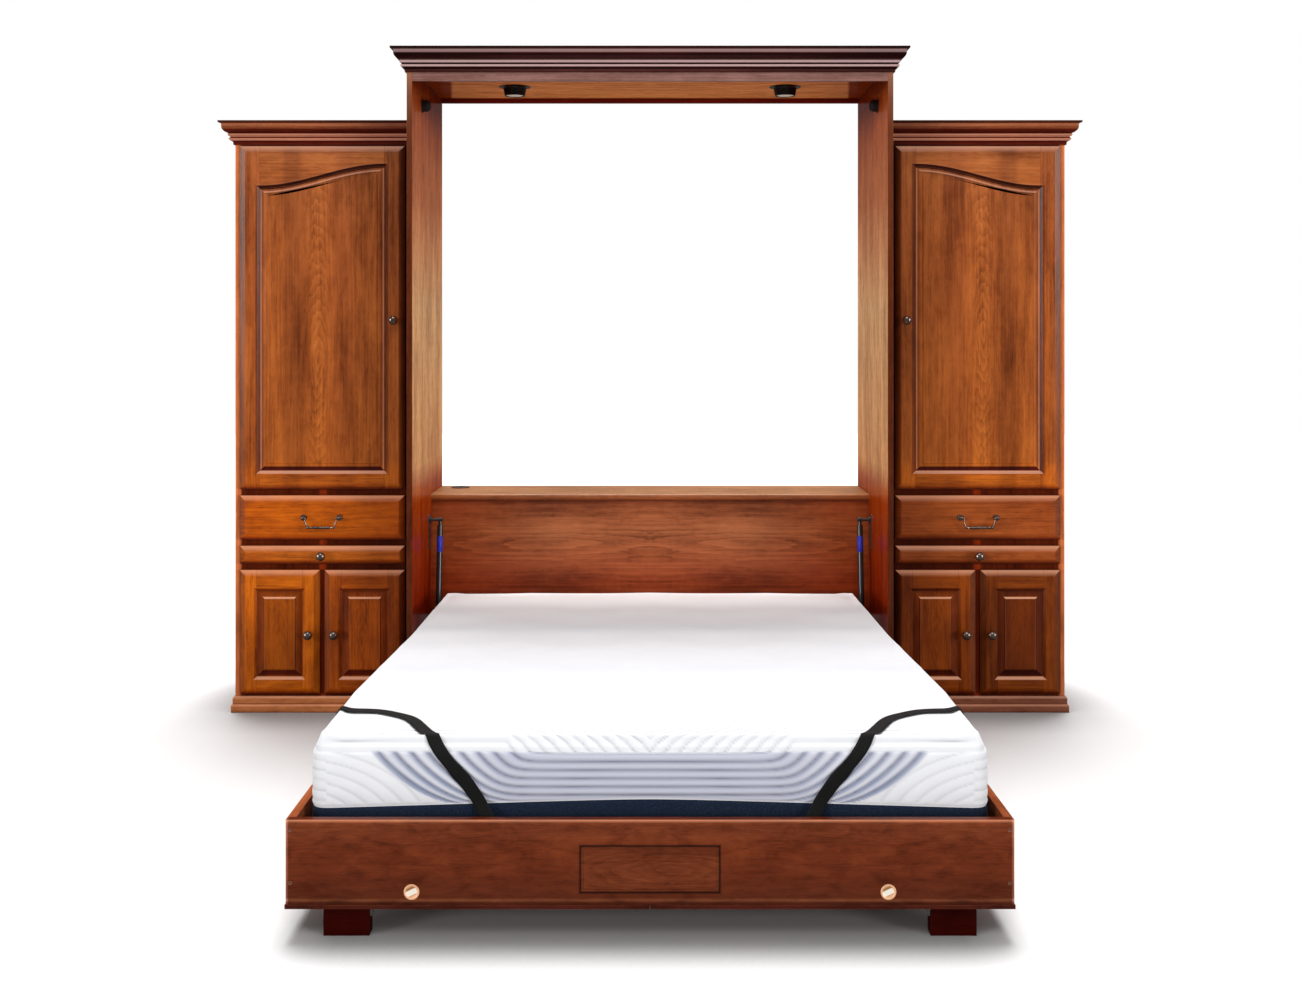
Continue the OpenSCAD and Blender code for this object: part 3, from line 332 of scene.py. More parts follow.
def doorZones(across, along, door):
    # which of a door's boards a point is on (rails, panel, between the stiles), its joint lines and the opening's gaps
    low, high = sorted((door["hinged"], door["free"]))
    left, right = low + door["stile"], high - door["stile"]
    between = (across > left) * (across < right)
    bottom, top = door["low"] + door["rail"], door["high"] - door["top"] - door["rise"]
    if door["rise"]:
        turn = spread(across, left, right, *((math.pi, 0) if door["free"] < door["hinged"] else (0, math.pi)))
        top = (1.0 - calc("COSINE", turn)) * (door["rise"] / 2) + top
    gaps = (across - left, right - across, along - bottom, top - along)
    beyond = calc("MAXIMUM", gaps[3] < 0.0, gaps[2] < 0.0)
    rails = between * beyond
    joint = (calc("MINIMUM", abs(gaps[0]), abs(gaps[1])) < woodLook["jointHalf"]) * beyond
    return rails, between - rails, joint, between, gaps


def falloff(distance):  # 1 at no distance, less and less to both sides
    return calc("POWER", 2.718, distance * distance * -1.0)


def grained(kind, *spot):
    size, *rest = grainLook[kind]
    return cloud(scaled(spot, size), *rest)


def cherryWood(name, tone, grain="z", seed=0.0, **look):
    # tone is the board's middle colour; grain is the axis that it runs along
    look = {**woodLook, **look}
    made, shader = newFinish(name)
    x, y, z = place()
    wide = abs(x) if look["paired"] else x
    across, deep, along = {"z": (wide, y, z), "x": (z, y, wide), "y": (wide, z, y)}[grain]
    if look["wideSide"]:  # boards whose wide face is turned to the side
        across, deep = deep, across
    wholeAcross = across
    if "door" in look:
        rails, panel, joint, between, gaps = doorZones(across, along * look["flip"], look["door"])
        across, along = spread(rails, 0.0, 1.0, across, along), spread(rails, 0.0, 1.0, along, across)
        stile = (wholeAcross > (look["door"]["hinged"] + look["door"]["free"]) / 2) * (1.0 - between)
        panelShift, stileShift, railShift = look["boardShifts"]
        deep = panel * panelShift + (stile * stileShift + rails * railShift) + deep
    deep = deep + seed
    bent = (grained("warp", across, deep, along) - 0.5) * look["bend"] + across
    broad, streak, mottle = (grained(kind, bent, deep, along) for kind in ("broad", "streak", "mottle"))
    figureAcross, figureAlong = look["figureAt"]
    rings = newSignal("TexWave", {"Vector": axes(bent - figureAcross, 0.0, (along - figureAlong) * look["stretch"]),
        "Scale": look["ringScale"], **ringsLook}, "Fac", wave_type="RINGS", rings_direction="SPHERICAL",
        wave_profile="SAW")
    window = falloff((across - figureAcross) / look["figureWide"])  # where the flame figure of a flat-sawn board shows
    if "door" in look:
        window = window * panel
    # the board's grain, from dark to pale
    specks = spread(grained("pore", across, deep, along), *look["pores"], 1.0, 0.0)
    value = (broad - 0.5) * (look["broad"] * look["broadGain"]) + 0.5
    value = (rings - 0.5) * window * look["figure"] + value
    value = window * look["windowGain"] + value
    value = (streak - 0.5) * (look["streak"] * look["streakGain"]) + value
    value = (mottle - 0.5) * (look["mottle"] * look["mottleGain"]) + value
    value = specks * (-look["pore"] * look["poreGain"]) + value
    middle, sheenTone = srgb(*tone), srgb(*look["sheenTone"])
    colour, _ = ramp(value, [(at, times(middle, shares, top=0.95)) for at, shares in woodTones])
    if "boards" in look:  # how a door's frame and its panel differ
        colour = mixed(1.0, colour, mixed(panel, *look["boards"]), "MULTIPLY")
    # painted light and shade across a piece, such as the shade beside the centre cabinet
    if "across" in look:  # how one side of a piece stands darker
        colour = shaded(colour, wholeAcross, look["across"], sheenTone)
    # painted shade along the depth, from the front to the wall
    if "deepward" in look:  # from the front to the wall
        colour = shaded(colour, y, look["deepward"], sheenTone)
    # painted light and shade on the front edge, from the bottom up
    if "frontUpward" in look:  # the front edge, from the bottom up
        colour = shaded(colour, z, look["frontUpward"], sheenTone, y < look["frontEdge"])
    # painted light and shade towards the ends of a piece
    if "ends" in look:
        colour = shaded(colour, (y - look["frontPlane"]) * -look["endsLean"] + wide, look["ends"], sheenTone)
    # painted light and shade by height
    if "upward" in look:
        within = abs(x) < look["upwardWithin"] if "upwardWithin" in look else None
        colour = shaded(colour, z, look["upward"], sheenTone, within)
    # painted shade and highlights on the bevelled edges of a front
    if "edges" in look:
        left, right, low, high = look["edges"]
        colour = framed(colour, (wide - left, right - wide, z - low, high - z), edgeBands, sheenTone)
    # painted shade in the quirk round the inset plate
    if "around" in look:  # the dark quirk round the inset plate
        reach, low, high = look["around"]
        out = calc("MAXIMUM", abs(x) - reach, calc("MAXIMUM", low - z, z - high))
        colour = shaded(colour, out, quirkShadeBands, sheenTone)
    # painted shade and highlights round a door's opening and raised panel
    if "opening" in look:
        colour = framed(colour, gaps, look["opening"], sheenTone)
    # painted shade darkens the recesses, and the joints are dark; convex edges are lightened, partly as wear and partly
    # as painted sheen
    shadeAndJointTone = times(middle, look["shadeAndJointTone"])
    hollow = closeness(look["hollowReach"])
    colour = mixed(spread(hollow, *look["hollowFade"]) * look["hollow"], colour, shadeAndJointTone)
    rubbed = spread(closeness(look["rubReach"], True), *look["rubFade"]) * spread(mottle, 0.35, 0.65, 0.15, look["rub"])
    colour = mixed(rubbed, colour, times(middle, look["rubTone"], 0.02, 1.0))
    if "door" in look:
        colour = mixed(joint * look["jointDark"], colour, shadeAndJointTone)
    feed(shader, {"Base Color": colour, "Roughness": specks * 0.1 + (mottle * 0.14 + (look["rough"] - 0.07)),
        "Specular IOR Level": look["specular"], "Coat Weight": look["coat"], "Coat Roughness": 0.2,
        "Normal": raised(specks * -0.55 + streak * 0.5, 0.00022, 0.6)})
    if "knobFrom" in look:  # what stands in front of the wood's face is the bronze knob
        knob = newNode("BsdfPrincipled")
        metalShader(knob, *bronzeLook)
        both = newNode("MixShader", {0: y < look["knobFrom"], 1: shader.outputs[0], 2: knob.outputs[0]})
        feed(work["end"], {0: both.outputs[0]})
    return made


def metalShader(shader, base, metallic, rough, worn=None, wear=0.3, brushed=False, coat=0.0):
    spot = place()
    fine = cloud(scaled(spot, (260.0, 260.0, 15.6 if brushed else 260.0)), 3.0, 0.6)
    broad = cloud(scaled(spot, 38.0), 3.0)
    colour = mixed(spread(broad, 0.3, 0.7), times(base, gray(0.78)), times(base, gray(1.2), top=1))
    if worn:
        rubbed = spread(closeness(0.0016, True), 0.25, 0.8) * spread(fine, 0.35, 0.6, 0.2, 1.0)
        colour = mixed(rubbed * wear, colour, worn)
    feed(shader, {"Base Color": colour, "Metallic": metallic, "Coat Weight": coat, "Coat Roughness": 0.15,
        "Roughness": broad * 0.22 + (fine * 0.1 + (rough - 0.16)), "Normal": raised(fine, 0.0002, 0.35)})


bronzeLook = ((0.21, 0.155, 0.13), 0.95, 0.27, (0.55, 0.4, 0.3), 0.55, False, 0.4)


def dress(finish, *names):
    for name in names:
        slots = nodes[name].material_slots
        if not slots:
            nodes[name].data.materials.append(finish)
        for one in nodes[name].material_slots:
            one.material = finish


# painted light and shade across the pier fronts, darkest in the centre cabinet's shadow; on the upper doors also by
# height, more orange low down and greyer above with painted sheen
doorLightAndShade = [(0.872, (0.16, 0.1, 0.1)), (0.882, (0.3, 0.22, 0.22)), (0.895, (0.82, 0.84, 0.86)),
    (0.943, (0.88, 0.94, 0.9)), (0.95, (0.96, 1.0, 0.94)), (1.03, (0.98, 1.0, 0.96)), (1.065, (0.84, 0.82, 0.84)),
    (1.105, (0.86, 0.84, 0.86)), (1.135, (1.0, 0.99, 0.96)), (1.18, (1.06, 1.1, 1.06)), (1.232, (0.98, 0.98, 0.98)),
    (1.252, (0.76, 0.74, 0.76)), (1.292, (0.78, 0.76, 0.76)), (1.312, (1.04, 1.05, 0.98)), (1.38, (1.05, 1.06, 1.0)),
    (1.39, (1.04, 1.0, 0.98)), (1.459, (1.06, 1.04, 1.02))]
lowDoorLightAndShade = [(0.872, (0.12, 0.08, 0.06)), (0.884, (0.3, 0.22, 0.18)), (0.897, 0.66), (0.96, 0.8), (1.15, 0.92),
    (1.3, 1.0), (1.459, 1.06)]
drawerLightAndShade = [(0.872, (0.28, 0.22, 0.18)), (0.89, (0.66, 0.6, 0.6)), (1.0, (0.76, 0.74, 0.7)), (1.15, 0.9), (1.3, 1.0),
    (1.459, (1.06, 1.02, 1.0))]
upperDoorLightAndShade = [(0.795, (1.36, 1.24, 0.36)), (0.862, (1.28, 1.16, 0.42)), (0.9, (1.02, 0.98, 0.62)),
    (1.1, (1.0, 0.98, 0.76)), (1.7, 1.0), (1.95, (1.04, 1.14, 1.4)), (2.02, (0.96, 1.15, 1.6))]

# the fronts get painted light and shade across and up them, and round their bevels and openings
for side, seed in (("left", 0.0), ("right", 4.0)):
    leftOne = side == "left"
    dress(cherryWood(side + "UpperDoorCherry", (160, 83, 37), "z", seed, paired=True, door=upperDoor, across=doorLightAndShade,
        upward=upperDoorLightAndShade, figureAt=(1.18, 1.25 if leftOne else 1.35), figure=0.34, figureWide=0.032,
        edges=(0.872, 1.459, 0.795, 2.015), opening=narrowBands, sheenTone=(214, 156, 130)), side + "_upper_door")
    dress(cherryWood(side + "OuterDoorCherry", (156, 70, 4) if leftOne else (110, 45, 4), "z", seed + 1.3, paired=True,
        door=outerDoor, figureAt=(1.31, 0.2), figure=0.2, across=lowDoorLightAndShade,
        boards=((1.58, 1.85, 1.4), (0.78, 0.81, 0.55)) if leftOne else ((1.22, 1.36, 1.1), (0.75, 0.7, 0.5)),
        edges=(1.174, 1.459, 0.068, 0.508), opening=wideBands), side + "_outer_door")
    dress(cherryWood(side + "InnerDoorCherry", (164, 74, 6) if leftOne else (139, 61, 4), "z", seed + 2.1, paired=True,
        door=innerDoor, across=lowDoorLightAndShade, figureAt=(1.02, 0.25), figure=0.2, edges=(0.872, 1.157, 0.068, 0.508),
        opening=wideBands), side + "_inner_door")
    dress(cherryWood(side + "DrawerCherry", (195, 92, 4) if leftOne else (160, 77, 28), "x", seed + 3.2, paired=True,
        figure=0.1, broad=0.4, hollow=0.6, ends=drawerLightAndShade, edges=(0.872, 1.459, 0.616, 0.773)), side + "_drawer")
    dress(cherryWood(side + "TrayCherry", (194, 99, 20) if leftOne else (154, 75, 28), "x", seed + 4.4, paired=True,
        figure=0.1, broad=0.4, hollow=0.6, ends=drawerLightAndShade, edges=(0.872, 1.459, 0.53, 0.594), knobFrom=-0.5612),
        side + "_tray")
dress(cherryWood("pierCherry", (140, 68, 36), "z", 7.0, wideSide=True, figure=0.16), "pier_sides")
# painted shade on the frame strips set back between the fronts, lighter in the gap between the lower doors, painted
# light on the outer stile's edge
dress(cherryWood("faceFrameCherry", (130, 66, 36), "z", 8.0, figure=0.1, paired=True, coat=0.0, specular=0.05,
    across=[(0.835, (0.12, 0.06, 0.05)), (0.868, (0.14, 0.07, 0.05)), (0.876, (0.3, 0.14, 0.05)),
    (1.15, (0.36, 0.16, 0.05)), (1.156, (0.95, 0.36, 0.1)), (1.175, (0.95, 0.36, 0.1)), (1.181, (0.38, 0.17, 0.05)),
    (1.453, (0.44, 0.2, 0.05)), (1.461, 2.4), (1.478, (3.5, 3.9, 2.9), 0.1)]), "face_frames")
# painted light and shade on the side panels' inner faces by height: dark low down and under the soffit, pale with
# painted sheen in the middle; painted shade towards the wall; the front edge darker, with painted sheen near its top
dress(cherryWood("sidePanelCherry", (171, 97, 55), "z", 9.0, wideSide=True, figure=0.1, broad=0.45, specular=0.0,
    coat=0.4,
    deepward=[(-0.739, (0.26, 0.17, 0.13)), (-0.7385, 1.0), (-0.7, 1.0), (-0.55, 0.97), (-0.4, 0.9), (0.0, 0.84)],
    upward=[(0.0, (0.58, 0.12, 0.02)), (0.42, (0.66, 0.16, 0.02)), (0.61, (0.76, 0.24, 0.02)),
    (0.75, (1.0, 0.42, 0.06)), (0.8, (1.3, 1.0, 0.8)), (0.88, (2.1, 3.5, 4.1)), (1.45, (2.08, 4.0, 5.6)),
    (1.65, (1.88, 2.75, 3.4)), (1.83, (1.38, 1.42, 1.34)), (1.97, (1.3, 1.22, 1.05)), (2.08, (1.2, 0.92, 0.66)),
    (2.13, (1.0, 0.68, 0.38)), (2.19, (0.6, 0.26, 0.06)), (2.25, (0.45, 0.16, 0.03))], upwardWithin=0.817,
    frontUpward=[(0.3, 0.86), (1.1, 0.9), (1.6, 1.05), (2.05, 1.1, 0.03), (2.16, 1.1, 0.1), (2.25, 1.1, 0.28)]),
    "side_panels")
# painted shadow on the soffit's ends, its edge leaning with depth
dress(cherryWood("soffitCherry", (210, 134, 78), "x", 10.0, figure=0.15, broad=0.4, paired=True, specular=0.0, coat=0.1,
    endsLean=0.132, ends=[(0.0, 1.0), (0.676, 1.0), (0.686, (0.34, 0.12, 0.03)), (0.816, (0.3, 0.1, 0.02))]),
    "top_board")
# the fascia's pale pinkish-grey tone holds a painted reflection
dress(cherryWood("fasciaCherry", (138, 98, 90), "x", 11.0, figure=0.05, broad=0.35, coat=0.5), "fascia_rail")
dress(cherryWood("cleatCherry", (116, 22, 4), "x", 12.0, figure=0.05, broad=0.3, hollow=0.2), "wall_cleats",
    "toe_board")
# painted shade on the headboard: low down behind the mattress, at the top under the ledge, and towards its ends
dress(cherryWood("headboardCherry", (152, 86, 50), "x", 13.0, figureAt=(0.56, 0.35), figure=0.36, figureWide=0.09,
    ringScale=16.0, stretch=0.1, paired=True,
    ends=[(0.0, 1.04), (0.4, 1.0), (0.7, (0.94, 0.69, 0.46)), (0.816, (0.84, 0.56, 0.36))],
    upward=[(0.3, (0.7, 0.36, 0.28)), (0.42, (0.85, 0.48, 0.38)), (0.6, (1, 0.98, 1.0)), (0.705, (0.95, 0.85, 0.8)),
    (0.725, (0.5, 0.3, 0.2))]), "headboard_panel")
# painted shade under the ledge's nosing, lighter at its top edge
dress(cherryWood("ledgeCherry", (187, 130, 82), "x", 14.0, figure=0.1, broad=0.4, coat=0.3,
    upward=[(0.72, (0.4, 0.22, 0.14)), (0.732, (0.5, 0.26, 0.18)), (0.744, (0.6, 0.4, 0.3)), (0.749, (0.9, 0.85, 0.8)),
    (0.75, 1.05)]), "ledge")


def mouldingBands(low, tall, bands):  # from the bottom up, as shares of the height
    return [(low + band[0] * tall, *band[1:]) for band in bands]


# painted shade in a crown's hollows and painted highlights on its beads
dark, deep, pitch = (0.28, 0.2, 0.22), (0.14, 0.03, 0.03), (0.2, 0.14, 0.12)
centreBands = [(0.0, dark), (0.025, dark), (0.04, (0.56, 0.54, 0.6)), (0.1, (0.56, 0.54, 0.6)), (0.112, deep), (0.188,
    deep), (0.212, 1.2, 0.8), (0.284, 1.2, 0.84), (0.3, deep), (0.352, deep), (0.378, 1.2, 0.86), (0.462, 1.2, 0.7),
    (0.505, (0.3, 0.18, 0.18)), (0.64, deep), (0.735, (0.2, 0.08, 0.07)), (0.78, (0.9, 0.9, 0.9), 0.36),
    (0.885, 1.0, 0.5), (0.9, pitch), (1.0, pitch)]
pierBands = [(0.0, (0.4, 0.12, 0.1)), (0.155, (0.26, 0.06, 0.04)), (0.178, 1.2, 0.54), (0.248, 1.2, 0.52),
    (0.268, (0.36, 0.12, 0.08)), (0.318, (0.4, 0.14, 0.08)), (0.345, 1.2, 0.46), (0.455, 1.2, 0.4),
    (0.485, (0.3, 0.08, 0.04)), (0.63, (0.28, 0.07, 0.03)), (0.665, (0.6, 0.5, 0.46)), (0.74, (0.72, 0.66, 0.62), 0.02),
    (0.79, 1.1, 0.12), (0.885, 1.1, 0.14), (0.905, pitch), (1.0, pitch)]
# painted highlight in the crown's middle, painted shade towards its ends
dress(cherryWood("crownCherry", (104, 54, 46), "x", 15.0, figure=0.05, broad=0.45, coat=0.1, specular=0.08, rough=0.3,
    hollow=0.2, hollowReach=0.008, rub=0.1, sheenTone=(202, 170, 168), ends=[(-0.88, (0.62, 0.52, 0.5)), (-0.55, 0.86),
    (0.0, 1.12), (0.55, 0.92), (0.88, (0.66, 0.58, 0.56))], upward=mouldingBands(2.246, 0.081, centreBands)),
    "centre_crown")
# painted shade on the pier crowns towards the centre cabinet
dress(cherryWood("pierCrownCherry", (158, 84, 44), "x", 16.0, figure=0.05, broad=0.45, coat=0.1, specular=0.08,
    hollow=0.2, hollowReach=0.008, rub=0.1, sheenTone=(224, 158, 132), paired=True, ends=[(0.84, (0.5, 0.42, 0.5)),
    (0.95, (0.72, 0.66, 0.76)), (1.25, 1.0)], upward=mouldingBands(2.021, 0.081, pierBands)), "pier_crowns")
# painted light at the base's left end and painted shade at its right; painted shade at the floor and in the profile's
# quirks, painted sheen on its beads
dress(cherryWood("baseCherry", (173, 103, 61), "x", 17.0, figure=0.05, broad=0.4, hollow=0.5, rub=0.3, coat=0.4,
    ends=[(-1.478, (1.3, 1.3, 1.2)), (-0.872, 1.0), (0.872, (0.52, 0.5, 0.76)), (1.478, (0.55, 0.54, 0.8))],
    upward=[(0.0, (0.2, 0.1, 0.1)), (0.004, 0.75), (0.02, 0.95), (0.024, 1.2, 0.35), (0.0285, 1.2, 0.35),
    (0.03, (0.4, 0.2, 0.15)), (0.033, 0.8), (0.047, 0.95), (0.051, 1.1, 0.3), (0.057, 1.0, 0.3)]), "base_mouldings")
dress(cherryWood("shelfVeneer", (186, 132, 84), "x", 18.0, figure=0.2, broad=0.4, coat=0.1), "pier_shelves",
    "pier_backs")
# painted highlights on the foot rail's end edges, along a bead near its bottom and along its top edge; darker at the
# very bottom; painted shade in the quirk round the inset plate
dress(cherryWood("footRailCherry", (105, 39, 13), "x", 19.0, figure=0.08, broad=0.5, mottle=0.75, streak=0.25, rub=0.5,
    paired=True,
    ends=[(0.0, 1.0), (0.8055, 1.0), (0.8075, (2.0, 2.1, 2.2), 0.15), (0.81, (2.2, 2.5, 2.6), 0.25)],
    upward=[(0.081, (0.47, 0.55, 0.8)), (0.0855, (0.47, 0.55, 0.8)), (0.088, (0.85, 1.5, 2.8)),
    (0.0905, (1.06, 2.0, 3.9)), (0.0925, (1.0, 1.8, 3.2)), (0.095, (0.7, 0.95, 1.5)), (0.0965, (0.6, 0.74, 1.0)),
    (0.14, (0.78, 0.92, 1.15)), (0.2, (1.0, 1.22, 1.4)), (0.255, (1.15, 1.65, 2.5)), (0.2615, (1.25, 1.8, 2.6)),
    (0.264, (1.6, 2.4, 3.2), 0.08), (0.2662, (2.3, 3.0, 3.4), 0.22), (0.269, (2.6, 3.2, 3.2), 0.48),
    (0.2697, (2.6, 3.2, 3.2), 0.48), (0.26985, 0.7), (0.27, 0.7)],
    around=(0.1545, 0.1085, 0.2105)), "foot_rail")
# painted shade in the quirk round the plate
dress(cherryWood("insetCherry", (102, 45, 20), "x", 20.0, figureAt=(0.156, 0.05), figure=0.25, broad=0.4, mottle=0.6,
    around=(0.1545, 0.1085, 0.2105)), "inset_plate")
dress(cherryWood("bedRailCherry", (150, 78, 44), "y", 21.0, figure=0.1, rub=0.8), "bed_side_rails", "head_rail")
# painted shade and highlights round the raised panels; the front strip below the foot rail darker
dress(cherryWood("bedFrontCherry", (150, 76, 34), "y", 22.0, paired=True, flip=-1.0, figure=0.34, figureWide=0.05,
    figureAt=(0.4, -1.3), opening=narrowBands,
    deepward=[(-2.62, (0.215, 0.135, 0.26)), (-2.5425, (0.215, 0.135, 0.26)), (-2.5415, 1.0), (0.0, 1.0)],
    door={"hinged": 0.812, "free": 0.001, "low": 0.435, "high": 2.55, "stile": 0.096, "rail": 0.096, "top": 0.096,
    "rise": 0.108}), "front_panels")
dress(cherryWood("legCherry", (44, 4, 1), "x", 23.0, figure=0.05, mottle=0.5, specular=0.04, coat=0.0), "left_leg",
    "right_leg")
dress(cherryWood("deckPlywood", (204, 164, 112), "y", 24.0, figure=0.3, coat=0.0, rough=0.6), "deck", "stringers")
print("wood finishes made")

# ---- metals, rubber, plastic and glass


def metalFinish(name, *look, shine=0.5, **more):
    made, shader = newFinish(name)
    metalShader(shader, *look, **more)
    feed(shader, {"Specular IOR Level": shine})
    return made


bronze = metalFinish("rubbedBronze", *bronzeLook)
dress(bronze, "left_upper_fittings", "right_upper_fittings", "left_outer_fittings", "right_outer_fittings",
    "left_inner_fittings", "right_inner_fittings", "left_drawer_fittings", "right_drawer_fittings", "left_bail",
    "right_bail")
dress(metalFinish("lampShellBronze", (0.006, 0.004, 0.003), 0.0, 0.2, (0.3, 0.22, 0.16), 0.1, shine=0.25),
    "light_housings")
dress(metalFinish("zincSteel", (0.56, 0.56, 0.55), 0.9, 0.34, (0.75, 0.75, 0.74), brushed=True), "hinge_arms",
    "slide_rails", "pivot_pins", "mechanism_plates", "leg_brackets")
dress(metalFinish("blackSteel", (0.022, 0.022, 0.026), 0.3, 0.34, (0.2, 0.2, 0.21), 0.4, coat=0.3), "strut_brackets",
    "left_strut_cylinder", "right_strut_cylinder")
dress(metalFinish("polishedRod", (0.78, 0.78, 0.8), 1.0, 0.22, brushed=True), "left_strut_rod", "right_strut_rod")
dress(metalFinish("satinBrass", (0.86, 0.6, 0.38), 0.85, 0.34, (1.0, 0.86, 0.7), 0.6), "brass_bolts")


def plainFinish(name, base, rough):
    made, shader = newFinish(name)
    spot = place()
    fine, broad = cloud(scaled(spot, 700.0), 3.0), cloud(scaled(spot, 45.0), 3.0)
    feed(shader, {"Base Color": mixed(broad, times(base, gray(0.75)), times(base, gray(1.3))),
        "Roughness": broad * 0.2 + (rough - 0.1), "Sheen Weight": 0.0, "Specular IOR Level": 0.3, "Normal": raised(fine,
        0.0002, 0.6)})
    return made


dress(plainFinish("blackRubber", (0.008, 0.005, 0.005), 0.62), "rubber_catches")
dress(plainFinish("darkPlastic", (0.045, 0.032, 0.026), 0.42), "cable_grommet")


def lensFinish():
    made, shader = newFinish("frostedLens")
    dimple = newSignal("TexVoronoi", {"Scale": 240.0, "Vector": scaled(place(), 1.0)}, "Distance")
    # the faint emission is a painted glow; the lens lights nothing
    feed(shader, {"Base Color": mixed(spread(dimple, 0.0, 0.7), (0.95, 0.86, 0.7), (0.8, 0.72, 0.6)), "Roughness": 0.25,
        "Coat Weight": 0.6, "Emission Color": (1.0, 0.86, 0.62), "Emission Strength": 0.12, "Normal": raised(dimple,
        0.0006, 0.5)})
    return made


dress(lensFinish(), "light_lenses")
print("metal, rubber and lens finishes made")

# ---- mattress

mattressLook = {"halfWide": 0.773, "halfLong": 1.013, "middleY": -1.474, "low": 0.1492, "high": 0.43, "corner": 0.042,
    "edge": 0.046, "lowEdge": 0.012, "cuts": (76, 62, 22), "crowdAcross": 0.27, "crowdAlong": 0.45, "cap": 0.008,
    "frames": 20, "seams": (0.2957, 0.4056), "channelPitch": 0.019, "channelLow": 0.2215, "channelHigh": 0.4,
    "headSink": 0.024, "sinkFrom": 0.55, "headNarrow": 0.03, "narrowFrom": 0.6, "narrowLong": 0.8}
clothLook = {"quality": 4, "mass": 0.4, "use_pressure": True, "uniform_pressure_force": 1.5, "tension_stiffness": 12,
    "compression_stiffness": 12, "bending_stiffness": 1.5, "vertex_group_mass": "heldSeams"}
# channel, outer, feather and along each give: depth, power, the level left alone, then the painted shade in the grooves
# and its power
quiltLook = {"dip": 0.031, "dipRound": 0.1, "dipReach": 0.11, "cornerShare": 0.6, "sideFrom": 0.04, "sideStart": 0.05,
    "upright": (0.45, 0.9), "facing": (0.3, 0.6), "turnLow": 0.2215, "turn": 0.52, "turnFrom": 0.4224, "turnOut": 0.66,
    "turnPower": 0.548, "blend": 0.008, "blendAt": 0.25, "zoneSoft": 0.002, "zoneStart": (0.002, 0.005),
    "zoneEnd": (0.4015, 0.405), "phaseAt": 0.305, "channel": (0.0064, 0.55, 0.75, 1.0, 1.6),
    "outerStart": (0.004, 0.012), "outerEnd": (0.398, 0.404), "ringAt": (0.8, 0.225), "ringFlat": 0.62,
    "ringPitch": 0.023, "waveHigh": 0.012, "waveLong": 0.36, "sidePitch": 0.03, "outer": (0.0022, 0.6, 0.7, 0.34, 4),
    "edgeLow": 0.4, "edgeBack": 0.015, "edgeStart": (0.401, 0.404), "edgeEnd": (0.085, 0.155), "edgeHalf": 0.75,
    "edgeSoft": 0.06, "edgePitch": 0.024, "along": (0.0026, 0.6, 0.7, 0.5, 4), "featherHalf": 0.335,
    "featherSoft": 0.02, "featherSlant": 1.1, "featherShift": 0.004, "featherPitch": 0.034,
    "feather": (0.003, 0.6, 0.7, 0.5, 3), "seamDepths": (0.003, 0.0035), "seamHalf": 0.0035, "topFacing": (0.8, 0.97),
    "topStart": (0.06, 0.2), "zigWide": 0.42, "topDeep": 0.0016, "topPitch": 0.3, "slope": (0.3, 0.44),
    "crestShift": 0.12, "crestPale": 0.55, "rim": 0.022, "rimGain": 0.9, "strokes": (0.24, 0.5), "strokePower": 1.1,
    "strokeGain": 1.5, "strokeFade": 0.5, "strokeEnd": (0.32, 0.39)}


def crowdEnds(share, crowd):  # closer rows near the ends of a side
    return share + crowd / math.pi * math.sin(math.pi * share)


def headShare(y, look):  # 0 in the foot half, 1 at the head; y from the mattress's middle
    start = look["sinkFrom"] * look["halfLong"]
    return min(1.0, max(0.0, (y + start) / (look["halfLong"] + start)))


def mattressShell(look):
    build = bmesh.new()
    bmesh.ops.create_cube(build, size=2.0)
    for axis, cuts in enumerate(look["cuts"]):
        along = [e for e in build.edges if abs(abs((e.verts[0].co - e.verts[1].co).normalized()[axis]) - 1) < 1e-4]
        bmesh.ops.subdivide_edges(build, edges=along, cuts=cuts, use_grid_fill=True)
    halfZ, corner = (look["high"] - look["low"]) / 2, look["corner"]
    for v in build.verts:
        x = crowdEnds(v.co.x, look["crowdAcross"]) * look["halfWide"]
        y = crowdEnds(v.co.y, look["crowdAlong"]) * look["halfLong"]
        z = v.co.z * halfZ
        overX, overY = abs(x) - (look["halfWide"] - corner), abs(y) - (look["halfLong"] - corner)
        if overX > 0 and overY > 0:
            reach, long = max(overX, overY), math.hypot(overX, overY)
            out = Vector((overX / long * math.copysign(1, x), overY / long * math.copysign(1, y), 0))
            inset = corner - reach
            x = math.copysign(look["halfWide"] - corner, x) + out.x * reach
            y = math.copysign(look["halfLong"] - corner, y) + out.y * reach
        elif overX > overY:
            out, inset = Vector((math.copysign(1, x), 0, 0)), corner - overX
        else:
            out, inset = Vector((0, math.copysign(1, y), 0)), corner - overY
        down = halfZ - abs(z)
        rim = look["edge"] if z > 0 else look["lowEdge"]
        if inset < rim and down < rim:
            u, w = rim - inset, rim - down
            scale = max(u, w) / max(math.hypot(u, w), 1e-9)
            x, y = x + out.x * (u * scale - u), y + out.y * (u * scale - u)
            z += math.copysign(w * scale - w, z)
        z -= look["headSink"] * headShare(y, look) * (z + halfZ) / (2 * halfZ)  # a little lower towards the head
        # narrower there too, since the struts fold down beside it
        x *= 1 - look["headNarrow"] * min(1.0, max(0.0, (y + look["narrowFrom"]) / look["narrowLong"]))
        v.co = Vector((x, y + look["middleY"], z + (look["high"] + look["low"]) / 2))
    return pieceFrom(build, "quiltedMattress")


def smoothStep(value, low, high):
    t = np.clip((value - low) / (high - low), 0, 1)
    return t * t * (3 - 2 * t)


